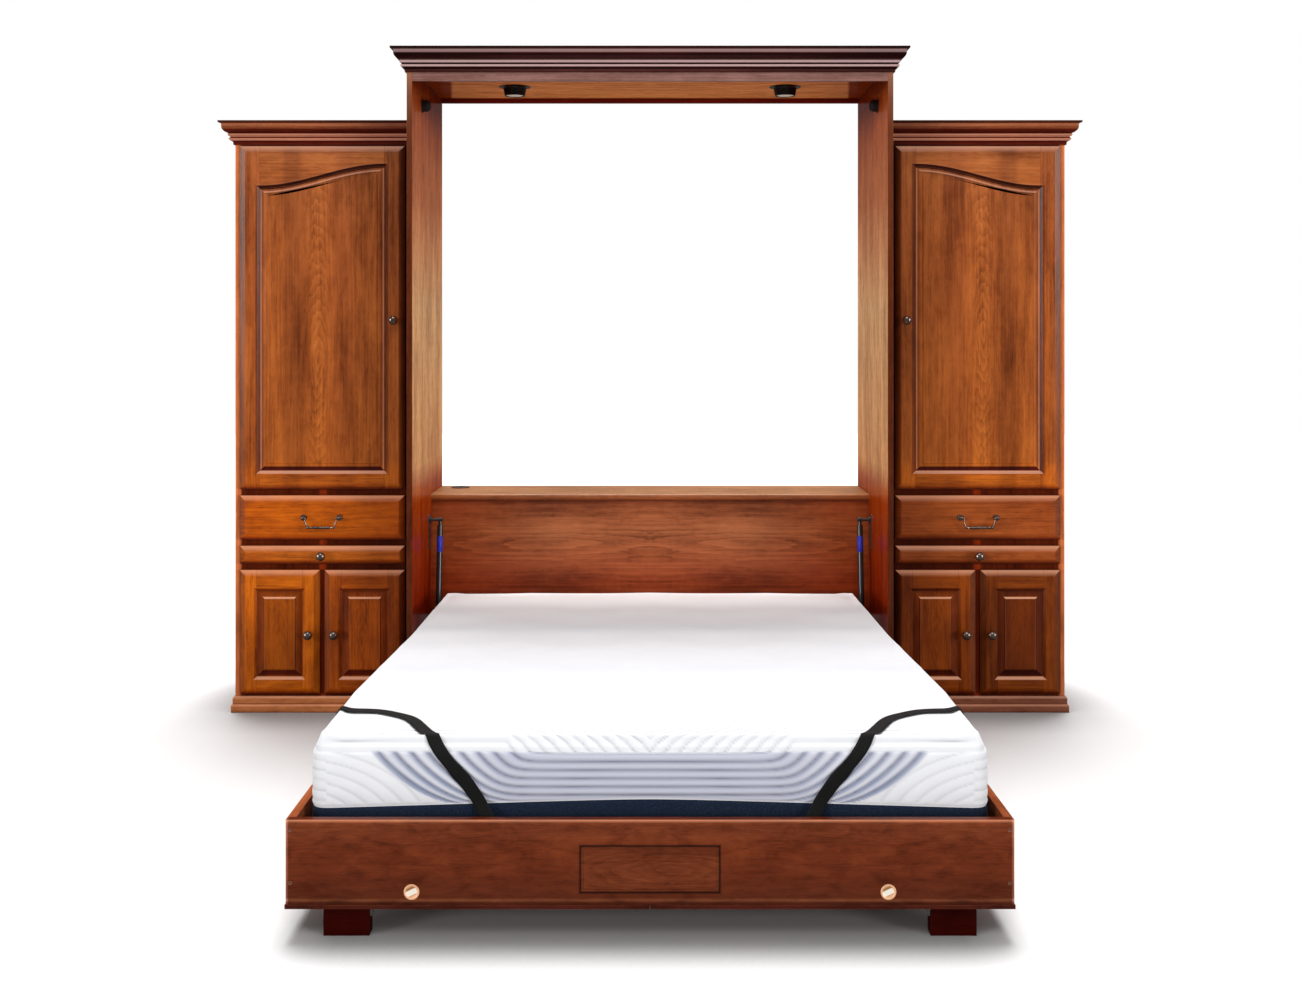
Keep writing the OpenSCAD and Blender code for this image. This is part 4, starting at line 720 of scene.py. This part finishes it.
def swell(piece, look):  # the filling pushes the ticking out between its seams
    mesh, scene = piece.data, bpy.context.scene
    start = np.array([v.co for v in mesh.vertices])
    held = piece.vertex_groups.new(name="heldSeams")
    tall = look["high"] - look["low"]
    for v in mesh.vertices:
        share = headShare(v.co.y - look["middleY"], look)
        level = look["low"] + (v.co.z - look["low"]) / (1 - look["headSink"] * share / tall)
        onSeam = any(abs(level - seam) < tall / (look["cuts"][2] + 1) * 0.5 for seam in look["seams"])
        outside = abs(v.co.x) > look["halfWide"] - 0.03 or abs(v.co.y - look["middleY"]) > look["halfLong"] - 0.03
        if v.co.z < look["low"] + 0.004 or (onSeam and outside):
            held.add([v.index], 1.0, "REPLACE")
    cloth = piece.modifiers.new("filling", "CLOTH")
    for name, value in clothLook.items():
        setattr(cloth.settings, name, value)
    cloth.settings.effector_weights.gravity = 0
    cloth.collision_settings.use_collision = False
    cloth.collision_settings.use_self_collision = False
    cloth.point_cache.frame_start = 1
    cloth.point_cache.frame_end = look["frames"]
    for step in range(1, look["frames"] + 1):
        scene.frame_set(step)
    bent = piece.evaluated_get(bpy.context.evaluated_depsgraph_get()).to_mesh()
    moved = np.array([v.co for v in bent.vertices])
    piece.evaluated_get(bpy.context.evaluated_depsgraph_get()).to_mesh_clear()
    piece.modifiers.remove(cloth)
    piece.vertex_groups.remove(held)
    scene.frame_set(1)
    shift = moved - start
    length = np.linalg.norm(shift, axis=1, keepdims=True)
    shift *= np.minimum(1.0, look["cap"] / np.maximum(length, 1e-9))
    nearSide = smoothStep(np.abs(start[:, 0]), look["halfWide"] - 0.12, look["halfWide"] - 0.03)
    headY = look["middleY"] + look["halfLong"]
    nearHead = smoothStep(start[:, 1], headY - 0.15, headY - 0.04)  # the head corners stay low, clear of the struts
    shift[:, 2] = np.where(shift[:, 2] > 0, shift[:, 2] * (1 - nearSide * nearHead), shift[:, 2])
    mesh.vertices.foreach_set("co", (start + shift).astype(np.float32).ravel())
    mesh.update()
    print("mattress filled: most moved %.1f mm before the cap" % (length.max() * 1000))


def refine(piece, levels):
    finer = piece.modifiers.new("finer", "SUBSURF")
    finer.levels = finer.render_levels = levels
    baked = bpy.data.meshes.new_from_object(piece.evaluated_get(bpy.context.evaluated_depsgraph_get()))
    old = piece.data
    piece.modifiers.clear()
    piece.data = baked
    baked.name = old.name
    bpy.data.meshes.remove(old)


def cut(phase, where, depth, power, middle, strength, sharp):
    # how far rows of quilting lift the ticking, and how much painted shade their grooves get
    puff = np.abs(np.sin(np.pi * phase))
    return np.array([depth * (puff ** power - middle) * where, strength * where * (1 - puff) ** sharp])


def quilt(piece, look, q):
    mesh = piece.data
    count = len(mesh.vertices)
    co, normal = np.empty(count * 3, np.float32), np.empty(count * 3, np.float32)
    mesh.vertices.foreach_get("co", co)
    mesh.vertices.foreach_get("normal", normal)
    co, normal = co.reshape(-1, 3).astype(float), normal.reshape(-1, 3).astype(float)
    x, y, flat = co[:, 0], co[:, 1], co[:, 2].copy()
    wide, back = np.abs(x), y - (look["middleY"] - look["halfLong"])
    # the lower seam dips a little towards the corners
    dip = q["dip"] * (np.hypot(x, q["dipRound"]) - q["dipRound"])
    z = flat - dip * np.clip(1 - np.abs(flat - look["seams"][0]) / q["dipReach"], 0, 1)
    co[:, 2] = z
    aboveNavy = z - (look["seams"][0] - dip)
    # distance round the border, from the middle of the foot end
    girth = np.where(back < look["corner"], np.minimum(wide, look["halfWide"]) + np.clip(back, 0,
        0.07) * q["cornerShare"], wide)
    girth = np.where(wide > look["halfWide"] - q["sideFrom"], look["halfWide"] + np.clip(back - q["sideStart"], 0, 9),
        girth)
    upright = 1 - smoothStep(np.abs(normal[:, 2]), *q["upright"])
    # channels run level in the middle and turn up towards the corners
    turned = q["turnLow"] + q["turn"] * (q["turnFrom"] - girth + q["turnOut"] * np.clip(aboveNavy, 0,
        1) ** q["turnPower"])
    blend, at = q["blend"], q["blendAt"]
    level = at - blend * np.log(np.exp((at - z) / blend) + np.exp((at - turned) / blend))
    low, high, soft = look["channelLow"], look["channelHigh"], q["zoneSoft"]
    inZone = smoothStep(level, low - soft, low + soft) * (1 - smoothStep(level, high - soft, high + soft))
    inZone *= smoothStep(aboveNavy, *q["zoneStart"]) * (1 - smoothStep(z, *q["zoneEnd"]))
    inZone *= upright * smoothStep(-normal[:, 1], *q["facing"])
    phase = (level - q["phaseAt"]) / look["channelPitch"]
    shape = cut(phase, inZone, *q["channel"])
    # faint curved quilting on the outer corners and the long sides
    outer = upright * (1 - inZone) * smoothStep(aboveNavy, *q["outerStart"]) * (1 - smoothStep(z, *q["outerEnd"]))
    ring = np.hypot((girth - q["ringAt"][0]) * q["ringFlat"], z - q["ringAt"][1]) / q["ringPitch"]
    side = (z + q["waveHigh"] * np.sin(2 * np.pi * y / q["waveLong"])) / q["sidePitch"]
    shape += cut(np.where(girth < q["ringAt"][0], ring, side), outer, *q["outer"])
    # rounded top edge: feathered grooves in the middle of the foot end, grooves along the edge beyond them
    climb = np.clip(z - q["edgeLow"], 0, 0.05) + np.clip(back - q["edgeBack"], 0, 1)  # way up over the edge
    topEdge = smoothStep(z, *q["edgeStart"]) * (1 - smoothStep(climb, *q["edgeEnd"]))
    topEdge *= smoothStep(q["edgeHalf"] - wide, 0.0, q["edgeSoft"])
    feather = smoothStep(q["featherHalf"] - wide, 0.0, q["featherSoft"])
    slant = (wide - climb * q["featherSlant"] + q["featherShift"]) / q["featherPitch"]
    shape += cut(slant, topEdge * feather, *q["feather"])
    shape += cut(climb / q["edgePitch"], topEdge * (1 - feather), *q["along"])
    lift, groove = shape
    # two seams round the border, and the top's wide shallow waves
    for seam, depth in zip(look["seams"], q["seamDepths"]):
        lift -= depth * np.exp(-((flat - seam) / q["seamHalf"]) ** 2) * upright
    onTop = smoothStep(normal[:, 2], *q["topFacing"]) * smoothStep(back, *q["topStart"])
    zig = np.abs(((x / q["zigWide"] + 0.5) % 1) - 0.5) * q["zigWide"]
    lift += q["topDeep"] * np.sin(2 * np.pi * (y + zig * 0.5) / q["topPitch"]) * onTop
    co += normal * lift[:, None]
    mesh.vertices.foreach_set("co", co.astype(np.float32).ravel())
    # tones for the ticking: bluish channels, paler on their crests as painted highlight, painted shade in the grooves,
    # and painted shade strokes where the channels turn up
    slope = smoothStep(girth, *q["slope"])
    crest = np.abs(np.sin(np.pi * (phase + q["crestShift"])))
    blue = inZone * (1 - q["crestPale"] * slope * crest)
    rimmed = 1 - smoothStep(level, low, low + q["rim"])
    stroke = smoothStep(girth,
        *q["strokes"]) * (1 - crest) ** q["strokePower"] * q["strokeGain"] + rimmed * slope * q["rimGain"]
    stroke = inZone * np.clip(stroke, 0, 1) * (1 - q["strokeFade"] * slope * smoothStep(z, *q["strokeEnd"]))
    tint = mesh.attributes.new("quiltTintAndShade", "FLOAT_COLOR", "POINT")
    values = np.stack([*np.clip([blue, groove, stroke], 0, 1), np.ones(count)], 1)
    tint.data.foreach_set("color", values.astype(np.float32).ravel())
    mesh.update()
    for polygon in mesh.polygons:
        polygon.use_smooth = True


def tickingFinish(look, q):
    made, shader = newFinish("quiltedTicking")
    x, y, z = spot = place()
    given = newNode("Attribute", attribute_name="quiltTintAndShade")
    blue, groove, stroke = map(Signal, newNode("SeparateColor", {0: given.outputs["Color"]}).outputs)
    knit = newSignal("TexVoronoi", {"Scale": 1.0, "Vector": scaled(spot, (620.0, 620.0, 430.0))}, "Distance")
    soft, fluff = cloud(scaled(spot, 22.0), 3.0), cloud(scaled(spot, 900.0), 2.0)
    white = mixed(soft, srgb(224, 225, 229), srgb(233, 233, 235))
    # painted light: paler towards the head, where the cabinet's shadow falls
    white = mixed(spread(y, -1.5, -0.5), white, srgb(250, 250, 252))
    # two faint painted shadow bands across the top
    bands = falloff((y - -1.191) / 0.07) + falloff((y - -1.802) / 0.07)
    colour = mixed(bands * 0.5, white, srgb(216, 218, 224))
    # bluish tint, then painted shade strokes and painted shade in the grooves
    for part, share, tone in ((blue, 0.95, (188, 190, 204)), (stroke, 0.7, (128, 141, 172)), (groove, 0.8,
            (104, 107, 126))):
        colour = mixed(part * share, colour, srgb(*tone))
    # navy lower band, whose upper edge dips a little towards the corners
    bound = calc("SQRT", x * x + q["dipRound"] ** 2) * -q["dip"] + (look["seams"][0] + q["dip"] * q["dipRound"])
    navy = z < (fluff - 0.5) * 0.0012 + bound
    navyTone = mixed(spread(calc("SINE", z * 1500.0), -1.0, 1.0), srgb(0, 11, 27), srgb(4, 28, 54))
    colour = mixed(navy, colour, mixed(soft, navyTone, srgb(2, 20, 42)))
    colour = mixed(spread(knit, 0.2, 0.8) * 0.06, colour, srgb(150, 156, 170))
    height = groove * -1.6 + (knit * -0.35 + fluff * 0.3)
    feed(shader, {"Base Color": colour, "Roughness": soft * 0.12 + 0.78, "Specular IOR Level": 0.06,
        "Sheen Weight": 0.04, "Sheen Roughness": 0.5, "Normal": raised(height, 0.0008, 0.6)})
    return made


mattress = mattressShell(mattressLook)
swell(mattress, mattressLook)
refine(mattress, 2)
quilt(mattress, mattressLook, quiltLook)
mattress.data.materials.clear()
mattress.data.materials.append(tickingFinish(mattressLook, quiltLook))
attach(mattress, "bed")
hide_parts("mattress")
print("mattress made:", len(mattress.data.polygons), "faces")

# ---- retaining straps

strapLook = {"wide": 0.031, "thick": 0.0018, "step": 0.004, "tuckZ": 0.232, "freeTall": 0.052, "sideX": 0.7,
    "off": 0.0028, "middleRounds": 40, "lineRounds": 14, "lineOff": 0.7,
    "route": [(0.35, -2.519, 0.232), (0.358, -2.516, 0.25), (0.3722, -2.505, 0.2718), (0.39, -2.505, 0.3),
    (0.4084, -2.505, 0.3261), (0.436, -2.505, 0.3623), (0.458, -2.505, 0.39), (0.4768, -2.502, 0.4121),
    (0.488, -2.485, 0.428), (0.4991, -2.457, 0.44), (0.5276, -2.405, 0.445), (0.5548, -2.355, 0.445),
    (0.5849, -2.316, 0.445), (0.6403, -2.271, 0.445), (0.6891, -2.243, 0.445), (0.7249, -2.233, 0.442),
    (0.76, -2.228, 0.43), (0.785, -2.225, 0.4), (0.79, -2.222, 0.35), (0.788, -2.22, 0.3), (0.788, -2.219, 0.265),
    (0.788, -2.218, 0.232)]}


def webbingFinish():
    made, shader = newFinish("blackWebbing")
    split = newNode("SeparateXYZ", {0: newNode("UVMap", uv_map="weave").outputs[0]})
    across, along, _ = map(Signal, split.outputs)
    weave = calc("SINE", across * (2 * math.pi * 14)) * calc("SINE", along * (2 * math.pi * 450))
    fuzz = cloud(scaled(place(), 300.0), 3.0)
    selvedge = abs(across - 0.5) > 0.43
    colour = mixed(spread(weave, -1.0, 1.0), srgb(7, 7, 7), srgb(24, 23, 22))
    colour = mixed(selvedge * 0.5, colour, srgb(34, 33, 32))
    feed(shader, {"Base Color": mixed(fuzz * 0.3, colour, srgb(18, 17, 16)), "Roughness": fuzz * 0.2 + 0.6,
        "Sheen Weight": 0.03, "Specular IOR Level": 0.12, "Normal": raised(weave, 0.0004, 0.5)})
    return made


def smoothed(line):
    return [line[0]] + [(a + b * 2 + c) / 4 for a, b, c in zip(line, line[1:], line[2:])] + [line[-1]]


def pushedOut(surface, spot, gap):  # the way from a spot to where it stands a gap outside the ticking
    hit, normal = surface.find_nearest(spot)[:2]
    return normal * max(0.0, gap - (spot - hit).dot(normal))


def laidOn(surface, spot, look):
    hit, normal = surface.find_nearest(spot)[:2]
    free = spot.z < look["tuckZ"] + look["freeTall"]
    return free, (spot.copy() if free else hit + normal * look["off"]), normal.copy()


def strapPiece(name, look, surface, hand, finish):
    # the middle line is laid over the mattress, then the ribbon is turned to lie flat on it
    points = [Vector(p) for p in look["route"]]
    dense = []
    for a, b in zip(points, points[1:]):
        n = max(1, int((b - a).length / look["step"]))
        dense += [a.lerp(b, i / n) for i in range(n)]
    dense.append(points[-1])
    laid, out = [], []
    for p in dense:
        free, spot, normal = laidOn(surface, p, look)
        laid.append(spot)
        out.append((Vector((0, -1, 0)) if p.x < look["sideX"] else Vector((1, 0, 0))) if free else normal)
    for _ in range(look["middleRounds"]):
        laid = smoothed(laid)
        for _ in range(2):
            out = smoothed(out)
            out[1:-1] = [o.normalized() for o in out[1:-1]]
    laid = [p + pushedOut(surface, p, look["off"]) for p in laid]
    # five lines along the webbing, each laid on the ticking, so that it bends over the mattress's edge
    lines = [[], [], [], [], []]
    for i, p in enumerate(laid):
        ahead = (laid[min(i + 1, len(laid) - 1)] - laid[max(i - 1, 0)]).normalized()
        side = ahead.cross(out[i]).normalized() * look["wide"] / 2
        free = p.z < look["tuckZ"] + look["freeTall"]
        for line, f in zip(lines, (-1, -0.5, 0, 0.5, 1)):
            hit, normal = surface.find_nearest(p + side * f)[:2]
            line.append(p + side * f if free else hit + normal * look["off"])
    for k, line in enumerate(lines):
        # smoothed and pushed out again, by turns, at its points and halfway between them
        for _ in range(look["lineRounds"]):
            line = smoothed(line)
            for i in range(len(line) - 1):
                for share in (0.0, 0.5):
                    push = pushedOut(surface, line[i].lerp(line[i + 1], share), look["off"] * look["lineOff"])
                    line[i] = line[i] + push
                    line[i + 1] = line[i + 1] + push * share * 2
        lines[k] = line
    build = bmesh.new()
    weave = build.loops.layers.uv.new("weave")
    rows, travelled = [], [0.0]
    for i in range(len(laid)):
        high = []
        for k, line in enumerate(lines):
            ahead = line[min(i + 1, len(laid) - 1)] - line[max(i - 1, 0)]
            side = lines[min(k + 1, 4)][i] - lines[max(k - 1, 0)][i]
            up = ahead.cross(side).normalized()
            up = up if up.dot(out[i]) > 0 else -up
            high.append(line[i] + up * look["thick"] + side * {0: 0.02, 4: -0.02}.get(k, 0))
        low = [line[i] for line in lines]
        rows.append([build.verts.new(spot) for spot in [low[0]] + high + low[:0:-1]])
        if i:
            travelled.append(travelled[-1] + (laid[i] - laid[i - 1]).length)
    width = (0.0, 0.02, 0.25, 0.5, 0.75, 0.98, 1.0, 0.75, 0.5, 0.25)
    for i in range(len(rows) - 1):
        for k in range(10):
            j = (k + 1) % 10
            face = build.faces.new((rows[i][k], rows[i][j], rows[i + 1][j], rows[i + 1][k]))
            for loop, u, v in zip(face.loops, (width[k], width[j], width[j], width[k]),
                    (travelled[i],) * 2 + (travelled[i + 1],) * 2):
                loop[weave].uv = (u, v)
            face.smooth = True
    build.faces.new(rows[0][::-1])
    build.faces.new(rows[-1])
    if hand < 0:
        bmesh.ops.scale(build, vec=(-1, 1, 1), verts=build.verts)
    bmesh.ops.recalc_face_normals(build, faces=build.faces)
    return pieceFrom(build, name, finish)


mattressSurface = BVHTree.FromObject(mattress, bpy.context.evaluated_depsgraph_get())
webbing = webbingFinish()
for hand, side in hands:
    strap = strapPiece(side + "Strap", strapLook, mattressSurface, hand, webbing)
    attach(strap, "bed")
    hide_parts("straps")
print("straps laid")

# ---- bail pulls, screws and the struts' small parts


def turnedRing(build, centre, tangent, radius, sides):
    ring = bmesh.ops.create_circle(build, cap_ends=False, segments=sides, radius=radius)["verts"]
    turn = Vector((0, 0, 1)).rotation_difference(tangent).to_matrix().to_4x4()
    bmesh.ops.transform(build, matrix=Matrix.Translation(centre) @ turn, verts=ring)
    return ring


def ringEdges(ring):
    inside = set(ring)
    return [e for v in ring for e in v.link_edges if e.other_vert(v) in inside]


def tubeAlong(build, stations, sides=16):
    # a bar through (centre, radius) stations, with closed ends
    spots = [Vector(s[0]) for s in stations]
    rings = []
    for i, (spot, station) in enumerate(zip(spots, stations)):
        tangent = (spots[min(i + 1, len(spots) - 1)] - spots[max(i - 1, 0)]).normalized()
        rings.append(turnedRing(build, spot, tangent, station[1], sides))
    for a, b in zip(rings, rings[1:]):
        bmesh.ops.bridge_loops(build, edges=list(set(ringEdges(a) + ringEdges(b))))
    for ring in (rings[0], rings[-1]):
        bmesh.ops.contextual_create(build, geom=list(set(e for e in ringEdges(ring) if len(e.link_faces) < 2)))


def turnedPiece(name, profile, centre, axis, finish, steps=32):
    # profile: (radius, distance along the axis) pairs, spun once round
    build = bmesh.new()
    verts = [build.verts.new((r, 0, h)) for r, h in profile]
    edges = [build.edges.new(pair) for pair in zip(verts, verts[1:])]
    bmesh.ops.spin(build, geom=verts + edges, cent=(0, 0, 0), axis=(0, 0, 1), angle=2 * math.pi, steps=steps,
        use_merge=True)
    bmesh.ops.remove_doubles(build, verts=build.verts, dist=1e-6)
    bmesh.ops.recalc_face_normals(build, faces=build.faces)
    turn = Vector((0, 0, 1)).rotation_difference(Vector(axis)).to_matrix().to_4x4()
    bmesh.ops.transform(build, matrix=Matrix.Translation(centre) @ turn, verts=build.verts)
    for face in build.faces:
        face.smooth = True
    return pieceFrom(build, name, finish)


bailLook = {"pitch": 0.128, "y": -0.583, "z": 0.6945, "x": 1.1655, "drop": 0.033, "grip": 0.049, "thin": 0.0026,
    "thick": 0.0042}


def bailPiece(name, hand, look):
    build = bmesh.new()
    half = look["pitch"] / 2 - 0.0088
    path = [((-half, 0, 0.0005), look["thin"]), ((-half, 0, -0.008), look["thin"]), ((-half + 0.0015, 0, -0.017),
        0.0028), ((-half + 0.0045, 0, -0.0255), 0.003), ((-look["grip"] + 0.001, 0, -look["drop"] + 0.0012), 0.0036)]
    path += [((-look["grip"] + 0.005, 0, -look["drop"]), 0.0052), ((-look["grip"] + 0.0075, 0, -look["drop"]), 0.0052),
        ((-look["grip"] + 0.009, 0, -look["drop"]), 0.0038)]
    path += [((look["grip"] * f, 0, -look["drop"]), look["thick"] + 0.0008 * (1 - f * f)) for f in (-0.6, -0.35, 0.0)]
    whole = path + [((-p[0][0], p[0][1], p[0][2]), p[1]) for p in path[-2::-1]]
    tubeAlong(build, whole, 16)
    for end in (-1, 1):  # the pivot pins in the posts' eyes
        tubeAlong(build, [((end * (half - 0.0036), 0, 0), 0.0029), ((end * half, 0, 0), 0.0044), ((end * (half + 0.002),
            0, 0), 0.0044), ((end * (half + 0.0035), 0, 0), 0.0029), ((end * (half + 0.0145), 0, 0), 0.0029)], 14)
    bmesh.ops.recalc_face_normals(build, faces=build.faces)
    bmesh.ops.translate(build, verts=build.verts, vec=(hand * look["x"], look["y"], look["z"]))
    for face in build.faces:
        face.smooth = len(face.verts) == 4
    return pieceFrom(build, name, bronze)


for hand, side in hands:
    bail = bailPiece(side + "BailPull", hand, bailLook)
    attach(bail, side + "_bail")
    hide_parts(side + "_bail")

screwLook = {"x": 0.8, "z": (0.246, 0.129), "y": -2.5472,  # profile: (share of the radius, distance) pairs
             "radius": 0.0042, "profile": [(0, -0.002), (1, -0.002), (1, 0.0005), (0.85, 0.0009), (0.5, 0.0001),
                                           (0.45, -0.0012), (0, -0.0012)]}
screwBlack = metalFinish("darkScrewSteel", (0.13, 0.05, 0.03), 0.6, 0.35, (0.42, 0.24, 0.17), 0.5)
for hand, side in hands:
    for row, height in enumerate(screwLook["z"]):
        profile = [(screwLook["radius"] * share, along) for share, along in screwLook["profile"]]
        screw = turnedPiece("%sCornerScrew%d" % (side, row + 1), profile, (hand * screwLook["x"], screwLook["y"],
            height), (0, -1, 0), screwBlack, 24)
        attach(screw, "bed")

# painted glint: a bright bar across the bolt's head, with painted shade beside it
peach, glintPaint, shadeBesideGlint = (0.86, 0.46, 0.25), (1.0, 0.93, 0.8), (0.36, 0.15, 0.05)
boltLook = {"x": 0.53, "y": -2.547, "z": 0.109, "peach": peach, "toneHalf": 0.018,
    "tones": [(-0.018, peach), (-0.0095, peach), (-0.0078, (0.6, 0.3, 0.13)), (-0.0058, glintPaint), (0.0042, glintPaint),
    (0.0066, shadeBesideGlint), (0.01, shadeBesideGlint), (0.0125, peach), (0.018, peach)],
    "profile": [(0, -0.003), (0.0172, -0.003), (0.0176, 0.0005), (0.0168, 0.0016), (0.0154, 0.002), (0.014, 0.0014),
    (0.013, 0.0006), (0.01, 0.0004), (0.005, 0.0002), (0, 0.0001)]}


def brassFinish(look):
    made, shader = newFinish("brassWithPaintedGlint")
    x, y, z = spot = place()
    # the painted glint and shade run on the slant across the head; plain brass beyond its dish
    aside, above = x - calc("SIGN", x) * look["x"], z - look["z"]
    over = aside * -0.42 + above * 0.907
    out = calc("SQRT", aside * aside + above * above)
    half = look["toneHalf"]
    colour, _ = ramp(spread(over, -half, half), [((at + half) / (2 * half), tone) for at, tone in look["tones"]])
    colour = mixed(spread(out, 0.0118, 0.014), colour, look["peach"])
    fine = cloud(scaled(spot, 420.0), 2.0)
    feed(shader, {"Base Color": mixed(fine * 0.14, colour, (0.6, 0.34, 0.18)), "Metallic": 0.25,
        "Roughness": fine * 0.12 + 0.4, "Normal": raised(fine, 0.0002, 0.3)})
    return made


brassWithPaintedGlint = brassFinish(boltLook)
for hand, side in hands:
    bolt = turnedPiece(side + "BrassBolt", boltLook["profile"], (hand * boltLook["x"], boltLook["y"], boltLook["z"]),
        (0, -1, 0), brassWithPaintedGlint, 40)
    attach(bolt, "bed")
    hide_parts("brass_bolts")

strutLook = {"x": 0.775, "top": (-0.345, 0.66), "tilt": -8.4986, "bandFrom": 0.06, "bandLong": 0.058,
    "bandRadius": 0.01075}
bandBlue = plainFinish("blueSleeve", (0.02, 0.035, 0.42), 0.34)
for hand, side in hands:
    tilt = math.radians(strutLook["tilt"])
    down = Vector((0, math.sin(tilt), -math.cos(tilt)))
    top = Vector((hand * strutLook["x"], *strutLook["top"]))
    r = strutLook["bandRadius"]
    band = turnedPiece(side + "StrutSleeve", [(r - 0.0006, 0), (r, 0.0004), (r, strutLook["bandLong"] - 0.0004),
        (r - 0.0006, strutLook["bandLong"])], top + down * strutLook["bandFrom"], down, bandBlue, 36)
    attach(band, side + "_strut_cylinder")
print("pulls, screws and strut sleeves made")
